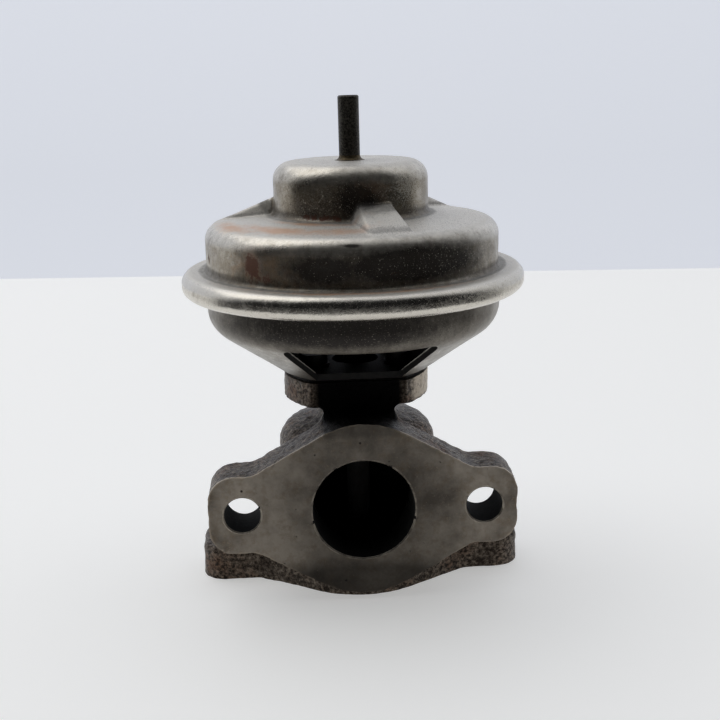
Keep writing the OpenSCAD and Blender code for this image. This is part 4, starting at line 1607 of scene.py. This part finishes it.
    def build(self, materials: list[bpy.types.Material]) -> bpy.types.Object:
        """Makes both faces with the windows' blocks of quads left out, and closes all the edges.

        Args:
            materials: the finishes in the order of ShellSlot.

        Returns:
            The piece.
        """
        azimuths, turn = self.columns()
        size = np.abs(turn)
        outer, inner = self.faces(azimuths, size)
        rows = np.arange(len(outer) - 1)[:, None]
        beside = np.maximum(size, np.roll(size, -1)) <= self.half_angle + 1e-6
        window = (rows >= self.rows_below) & (rows < self.rows_below + self.rows_across) & beside[None, :]
        sheet = grid_quads(len(outer), len(azimuths), False, True)[~window]
        points, quads = close_sheet(outer.reshape(-1, 3), inner.reshape(-1, 3), sheet)
        slots = np.repeat(list(ShellSlot), [len(sheet), len(sheet), len(quads) - 2 * len(sheet)])
        masks = self.masks(outer, azimuths, size)
        piece = make_piece("lower_case", points, quads, materials, slots=slots, sharp_degrees=50, masks=masks)
        bevel = piece.modifiers.new("sheared_edges", "BEVEL")
        bevel.limit_method, bevel.angle_limit = "ANGLE", math.radians(50)
        bevel.width, bevel.segments = 0.2 * MM, 2
        return settle(piece, "housing", "lower_case", "lower_shell")


def close_sheet(outer: Array, inner: Array, quads: Array) -> tuple[Array, Array]:
    """Joins two faces of a sheet, which share their quads, into one closed solid.

    An edge that only one quad uses is an edge of the sheet, and a quad across its thickness closes it.

    Args:
        outer, inner: the two faces' points.
        quads: the outer face's quads, facing outwards.

    Returns:
        All points and all quads.
    """
    n = len(outer)
    edges = np.concatenate([quads[:, [k, (k + 1) % 4]] for k in range(4)])
    key = np.sort(edges, 1)
    _, first, count = np.unique(key, axis=0, return_index=True, return_counts=True)
    rim = edges[first[count == 1]]
    walls = np.stack([rim[:, 1], rim[:, 0], rim[:, 0] + n, rim[:, 1] + n], -1)
    return np.concatenate([outer, inner]), np.concatenate([quads, quads[:, ::-1] + n, walls])


# ---- The moving rod's neighbours ----


@dataclass
class SoftParts:
    """The return spring and the rubber diaphragm."""

    joint: str = "valve_lift"
    wire: float = 2.2
    spring_r: float = 13.2
    turns: float = 6.5
    lift: float = 6.0
    rubber: float = 1.0
    rubber_keep: float = 0.27

    def spring(self, material: bpy.types.Material) -> bpy.types.Object:
        """The coil: a round wire carried along a helix whose two end turns lie flat.

        The wire's middle is (R cos a, R sin a, h(a)), and h climbs slowly in the end turns and evenly
        between them.

        Args:
            material: the wire's finish.

        Returns:
            The piece.
        """
        low, high = node_box("return_spring")
        t = np.linspace(0, self.turns, 340)
        half = self.wire / 2
        bottom, top = low[2] + half, high[2] - half
        climb = (top - bottom - 4 * half) / (self.turns - 2)
        rise = np.where(
            t < 1, bottom + half * t * 2,
            np.where(t > self.turns - 1, top - half * (self.turns - t) * 2, bottom + 2 * half + climb * (t - 1)),
        )
        side = np.linspace(0, 2 * np.pi, 16, endpoint=False)[None, :]
        around = 2 * np.pi * t[:, None]
        reach = self.spring_r + half * np.cos(side)
        points = np.stack(
            [reach * np.cos(around), reach * np.sin(around), rise[:, None] + half * np.sin(side)], -1
        )
        rows, columns = points.shape[:2]
        quads = grid_quads(rows, columns, False, True).reshape(-1, 4)[:, ::-1]
        middles = np.array([points[0].mean(0), points[-1].mean(0)])
        k = np.arange(columns)
        after, last_row, first_middle = (k + 1) % columns, (rows - 1) * columns, rows * columns
        first = np.stack([k, after, 0 * k + first_middle], -1)
        last = np.stack([last_row + after, last_row + k, 0 * k + first_middle + 1], -1)
        faces = quads.tolist() + first.tolist() + last.tolist()
        points = np.concatenate([points.reshape(-1, 3), middles])
        piece = make_piece("coil_spring", points, faces, [material], sharp_degrees=45)
        settle(piece, "housing", "spring_steel", "return_spring")
        return self.shorten(piece, 1 - self.lift / (high[2] - low[2]))

    def diaphragm(self, material: bpy.types.Material) -> bpy.types.Object:
        """The rubber: a flat middle, a rolling fold and a clamped edge, as one turned sheet.

        Args:
            material: the rubber's finish.

        Returns:
            The piece.
        """
        low, high = node_box("diaphragm")
        inner_z, clamp_z, outer_r = low[2], high[2] - self.rubber, high[0]
        lower, upper = bent_sheet(
            [[2.42, inner_z], [28.6, inner_z], [33.4, clamp_z], [outer_r, clamp_z]],
            [0, 2.5, 1.5, 0], self.rubber, 1.5, 8,
        )
        path = np.concatenate([lower, upper[::-1]])
        azimuths = np.arange(0, 360, 3.0)
        points = revolve(path, azimuths)
        quads = grid_quads(len(path), len(azimuths), True, True).reshape(-1, 4)
        piece = make_piece("rubber_diaphragm", points, quads[:, ::-1], [material], sharp_degrees=45)
        settle(piece, "housing", "diaphragm_rubber", "diaphragm")
        return self.shorten(piece, self.rubber_keep)

    def shorten(self, piece: bpy.types.Object, keep: float) -> bpy.types.Object:
        """Gives a piece its own copy of its mesh."""
        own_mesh(piece)
        return piece


# ---- Solids that keep their shape ----

NODE_FINISH: dict[str, Finish] = {
    "valve_seat": Finish.SEAT_STEEL,
    "poppet": Finish.HOT_STEEL,
    "valve_stem": Finish.STEM_STEEL,
    "guide_bush": Finish.BUSH_BRONZE,
    "deposit_shield": Finish.HOT_STEEL,
    "stem_seal": Finish.SEAL_GRAPHITE,
    "seal_retainer": Finish.OILY_STEEL,
    "case_gasket": Finish.GASKET_BOARD,
    "lock_washers": Finish.DARK_FASTENER,
    "case_screws": Finish.DARK_FASTENER,
    "lower_plate": Finish.HOT_STEEL,
    "upper_plate": Finish.PLATED_STEEL,
    "spring_cup": Finish.PLATED_STEEL,
    "nut_washer": Finish.FASTENER_STEEL,
    "stem_nut": Finish.FASTENER_STEEL,
    "spring_seat": Finish.PLATED_STEEL,
    "vacuum_nipple": Finish.NIPPLE_STEEL,
    "nipple_braze": Finish.BRAZE,
}


def dress_nodes(nodes: dict[str, bpy.types.Object], built: dict[Finish, bpy.types.Material]) -> None:
    """Gives every solid that stays in view its finish.

    Args:
        nodes: the solids by name.
        built: the materials by finish.
    """
    for name, finish in NODE_FINISH.items():
        node, material = nodes[name], built[finish]
        if not node.material_slots:
            node.data.materials.append(material)
        for slot in node.material_slots:
            slot.material = material
        log.info("%s: %s", name, material.name)


# ---- Studio ----


@dataclass
class Studio:
    """A pale table before a pale wall, in a room that is bright overhead and dark behind the camera."""

    lens_mm: float = 55.46
    camera_mm: tuple[float, float, float] = (-13.85, -280.13, 129.1)
    pitch: float = 14.65
    yaw: float = 3.09
    roll: float = -1.5
    table_half: float = 1.6
    table_back: float = 0.44
    table_skew: float = -0.116
    wall_y: float = 1.3
    wall_half: float = 4.0
    room_r: float = 5.0
    dark_from: float = 0.235
    dark_side: float = 100.0
    lamp_at: tuple[float, float, float] = (-0.5, 0.35, 1.0)
    lamp_aim: tuple[float, float, float] = (0.0, 0.0, 0.05)
    lamp_size: tuple[float, float] = (1.2, 0.9)
    lamp_watts: float = 2.2

    def camera(self) -> None:
        """Places the camera: forward is set by yaw and pitch, and the roll turns it about that line."""
        data = bpy.data.cameras.new("camera")
        data.lens, data.sensor_width = self.lens_mm, 36.0
        data.clip_start, data.clip_end = 0.01, 20.0
        camera = link("camera", data)
        a, b, c = (math.radians(v) for v in (self.pitch, self.yaw, self.roll))
        forward = Vector((math.sin(b) * math.cos(a), math.cos(b) * math.cos(a), -math.sin(a)))
        right = Vector((math.cos(b), -math.sin(b), 0))
        up = right.cross(forward)
        right, up = right * math.cos(c) + up * math.sin(c), up * math.cos(c) - right * math.sin(c)
        turn = Matrix((right, up, -forward)).transposed().to_4x4()
        camera.matrix_world = Matrix.Translation(Vector(self.camera_mm) * MM) @ turn
        bpy.context.scene.camera = camera

    def surface(self, name: str, points: list, faces: list, material: bpy.types.Material) -> bpy.types.Object:
        """A piece of the stage.

        Args:
            name: its name.
            points, faces: its shape, in metres.
            material: its paint.

        Returns:
            The object.
        """
        mesh = bpy.data.meshes.new(name)
        mesh.from_pydata(points, [], faces)
        mesh.materials.append(material)
        piece = link(name, mesh)
        return piece

    def paint(
        self, name: str, code: str, rough: float, tint: str = "ffffff", glow: float = 0.0
    ) -> bpy.types.Material:
        """A matt stage paint, with light of its own where it stands for a lit room.

        Args:
            name: the material's name.
            code: the paint's colour.
            rough: its roughness.
            tint, glow: the colour and the strength of its own light.

        Returns:
            The material.
        """
        g = Graph(name)
        material = g.shade(linear(code), rough, 0.0, g.bump(g.noise(30.0), 0.02, 0.1))
        shader = next(node for node in g.tree.nodes if node.type == "BSDF_PRINCIPLED")
        shader.inputs["Emission Color"].default_value = linear(tint)
        shader.inputs["Emission Strength"].default_value = glow
        return material

    def room(self) -> None:
        """The light from all round, by its direction d: the share S of the bright room over the dark one.

        S climbs smoothly with d.y + 0.45 d.z, so that the room is dark in front almost up to the zenith,
        and the bright room is a little brighter on the left.
        """
        world = bpy.data.worlds.new("room")
        bpy.context.scene.world = world
        world.use_nodes = True
        tree = world.node_tree
        tree.nodes.clear()
        place = add(tree, "ShaderNodeTexCoord").outputs["Generated"]
        axes = add(tree, "ShaderNodeSeparateXYZ", {0: place}).outputs
        climb = add(tree, "ShaderNodeMath", {0: axes["Z"], 1: 0.45, 2: axes["Y"]}, operation="MULTIPLY_ADD")
        span = {"Value": climb.outputs[0], "From Min": -0.15, "From Max": 0.5}
        share = add(tree, "ShaderNodeMapRange", span, interpolation_type="SMOOTHSTEP")
        span = {"Value": axes["X"], "From Min": -0.8, "From Max": 0.8, "To Min": 1.0, "To Max": 0.85}
        left = add(tree, "ShaderNodeMapRange", span)
        bright = add(tree, "ShaderNodeMath", {0: share.outputs[0], 1: left.outputs[0]}, operation="MULTIPLY")
        strength = add(tree, "ShaderNodeMath", {0: bright.outputs[0], 1: 0.95, 2: 0.012}, operation="MULTIPLY_ADD")
        back = add(tree, "ShaderNodeBackground", {"Color": linear("f2f4f8"), "Strength": strength.outputs[0]})
        add(tree, "ShaderNodeOutputWorld", {"Surface": back.outputs["Background"]})

    def overhead(self) -> None:
        """A large soft light over the part and a little behind it."""
        data = bpy.data.lights.new("overhead_soft", "AREA")
        data.shape = "RECTANGLE"
        data.size, data.size_y = self.lamp_size
        data.energy, data.color = self.lamp_watts, linear("fffdf8")[:3]
        lamp = link("overhead_soft", data)
        lamp.location = self.lamp_at
        lamp.rotation_mode = "QUATERNION"
        lamp.rotation_quaternion = (Vector(self.lamp_aim) - lamp.location).to_track_quat("-Z", "Y")

    def band(
        self, name: str, path: list[list[float]], azimuths: Array, closed: bool, material: bpy.types.Material,
        hidden_from: tuple[str, ...],
    ) -> None:
        """A strip of the stage: a line of two points (r, z), in metres, carried round the middle.

        Args:
            name: its name.
            path: the two points.
            azimuths: the directions that it passes through, in degrees.
            closed: whether it runs all round.
            material: its paint.
            hidden_from: the kinds of ray that pass through it.
        """
        points = revolve(np.array(path), azimuths).reshape(-1, 3)
        faces = grid_quads(2, len(azimuths), False, closed).reshape(-1, 4)
        piece = self.surface(name, points.tolist(), faces.tolist(), material)
        for ray in hidden_from:
            setattr(piece, f"visible_{ray}", False)

    def dark_mat(self) -> None:
        """The dark end of the table in front, as a ring's part, seen in reflections only."""
        turns = np.linspace(-self.dark_side, self.dark_side, 49)
        path = [[self.dark_from, 0.001], [2.0, 0.001]]
        paint = self.paint("room_dark_cloth", "1c1c1d", 1.0)
        self.band("dark_mat", path, turns, False, paint, ("camera", "diffuse", "shadow", "transmission"))

    def backdrop(self) -> None:
        """The pale wall carried on all round the table, lit evenly, which only the camera sees."""
        path = [[self.room_r, -1.0], [self.room_r, 3.0]]
        paint = self.paint("backdrop_pale", "000000", 1.0, "dfe3ec", 0.99)
        turns = np.arange(0, 360, 7.5)
        self.band("backdrop", path, turns, True, paint, ("diffuse", "glossy", "shadow", "transmission"))

    def build(self) -> None:
        """Sets the table, the wall, the light and the camera."""
        self.camera()
        self.room()
        self.overhead()
        self.dark_mat()
        self.backdrop()
        bpy.context.scene.view_settings.view_transform = "Standard"
        half, wide, back = self.table_half, self.wall_half, self.wall_y
        right, left = (self.table_back + side * half * self.table_skew for side in (1, -1))
        table = [(-half, -half, 0), (half, -half, 0), (half, right, 0), (-half, left, 0)]
        wall = [(-wide, back, -1), (wide, back, -1), (wide, back, 3), (-wide, back, 3)]
        for name, points, paint in (
            ("table", table, self.paint("table_matt_white", "dcdcdb", 0.7, "fbfbfa", 0.41)),
            ("wall", wall, self.paint("wall_pale", "a9abb0", 0.9, "dfe3ec", 0.87)),
        ):
            self.surface(name, points, [(0, 1, 2, 3)], paint)


# ---- The whole ----


def main() -> None:
    """Builds the pieces in order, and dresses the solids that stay."""
    logging.basicConfig(level=logging.INFO, format="%(name)s: %(message)s")
    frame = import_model()
    record = frame["record"]
    Studio().build()
    mounts = {mount["name"]: mount for mount in record["mounts"]}
    built = {finish: finish.value.build() for finish in Finish}
    CastBody(mounts=mounts).build([CastIron().build(), MilledIron().build(), built[Finish.SOOTED_AND_SHADE_DARKENED_IRON]])
    UpperShell().build(WornSteel("case_steel_worn_satin").build())
    dusty = WornSteel("case_steel_dusty", "9c968b", "7a746b", "6a645b", dust="8b8578", dust_level=0.36)
    LowerShell().build([dusty.build(), built[Finish.SHADE_DARKENED_STEEL], ShearedEdge().build()])
    soft = SoftParts()
    soft.spring(built[Finish.SPRING_STEEL])
    soft.diaphragm(built[Finish.DIAPHRAGM_RUBBER])
    dress_nodes(frame["nodes"], built)


if __name__ == "__main__":
    main()
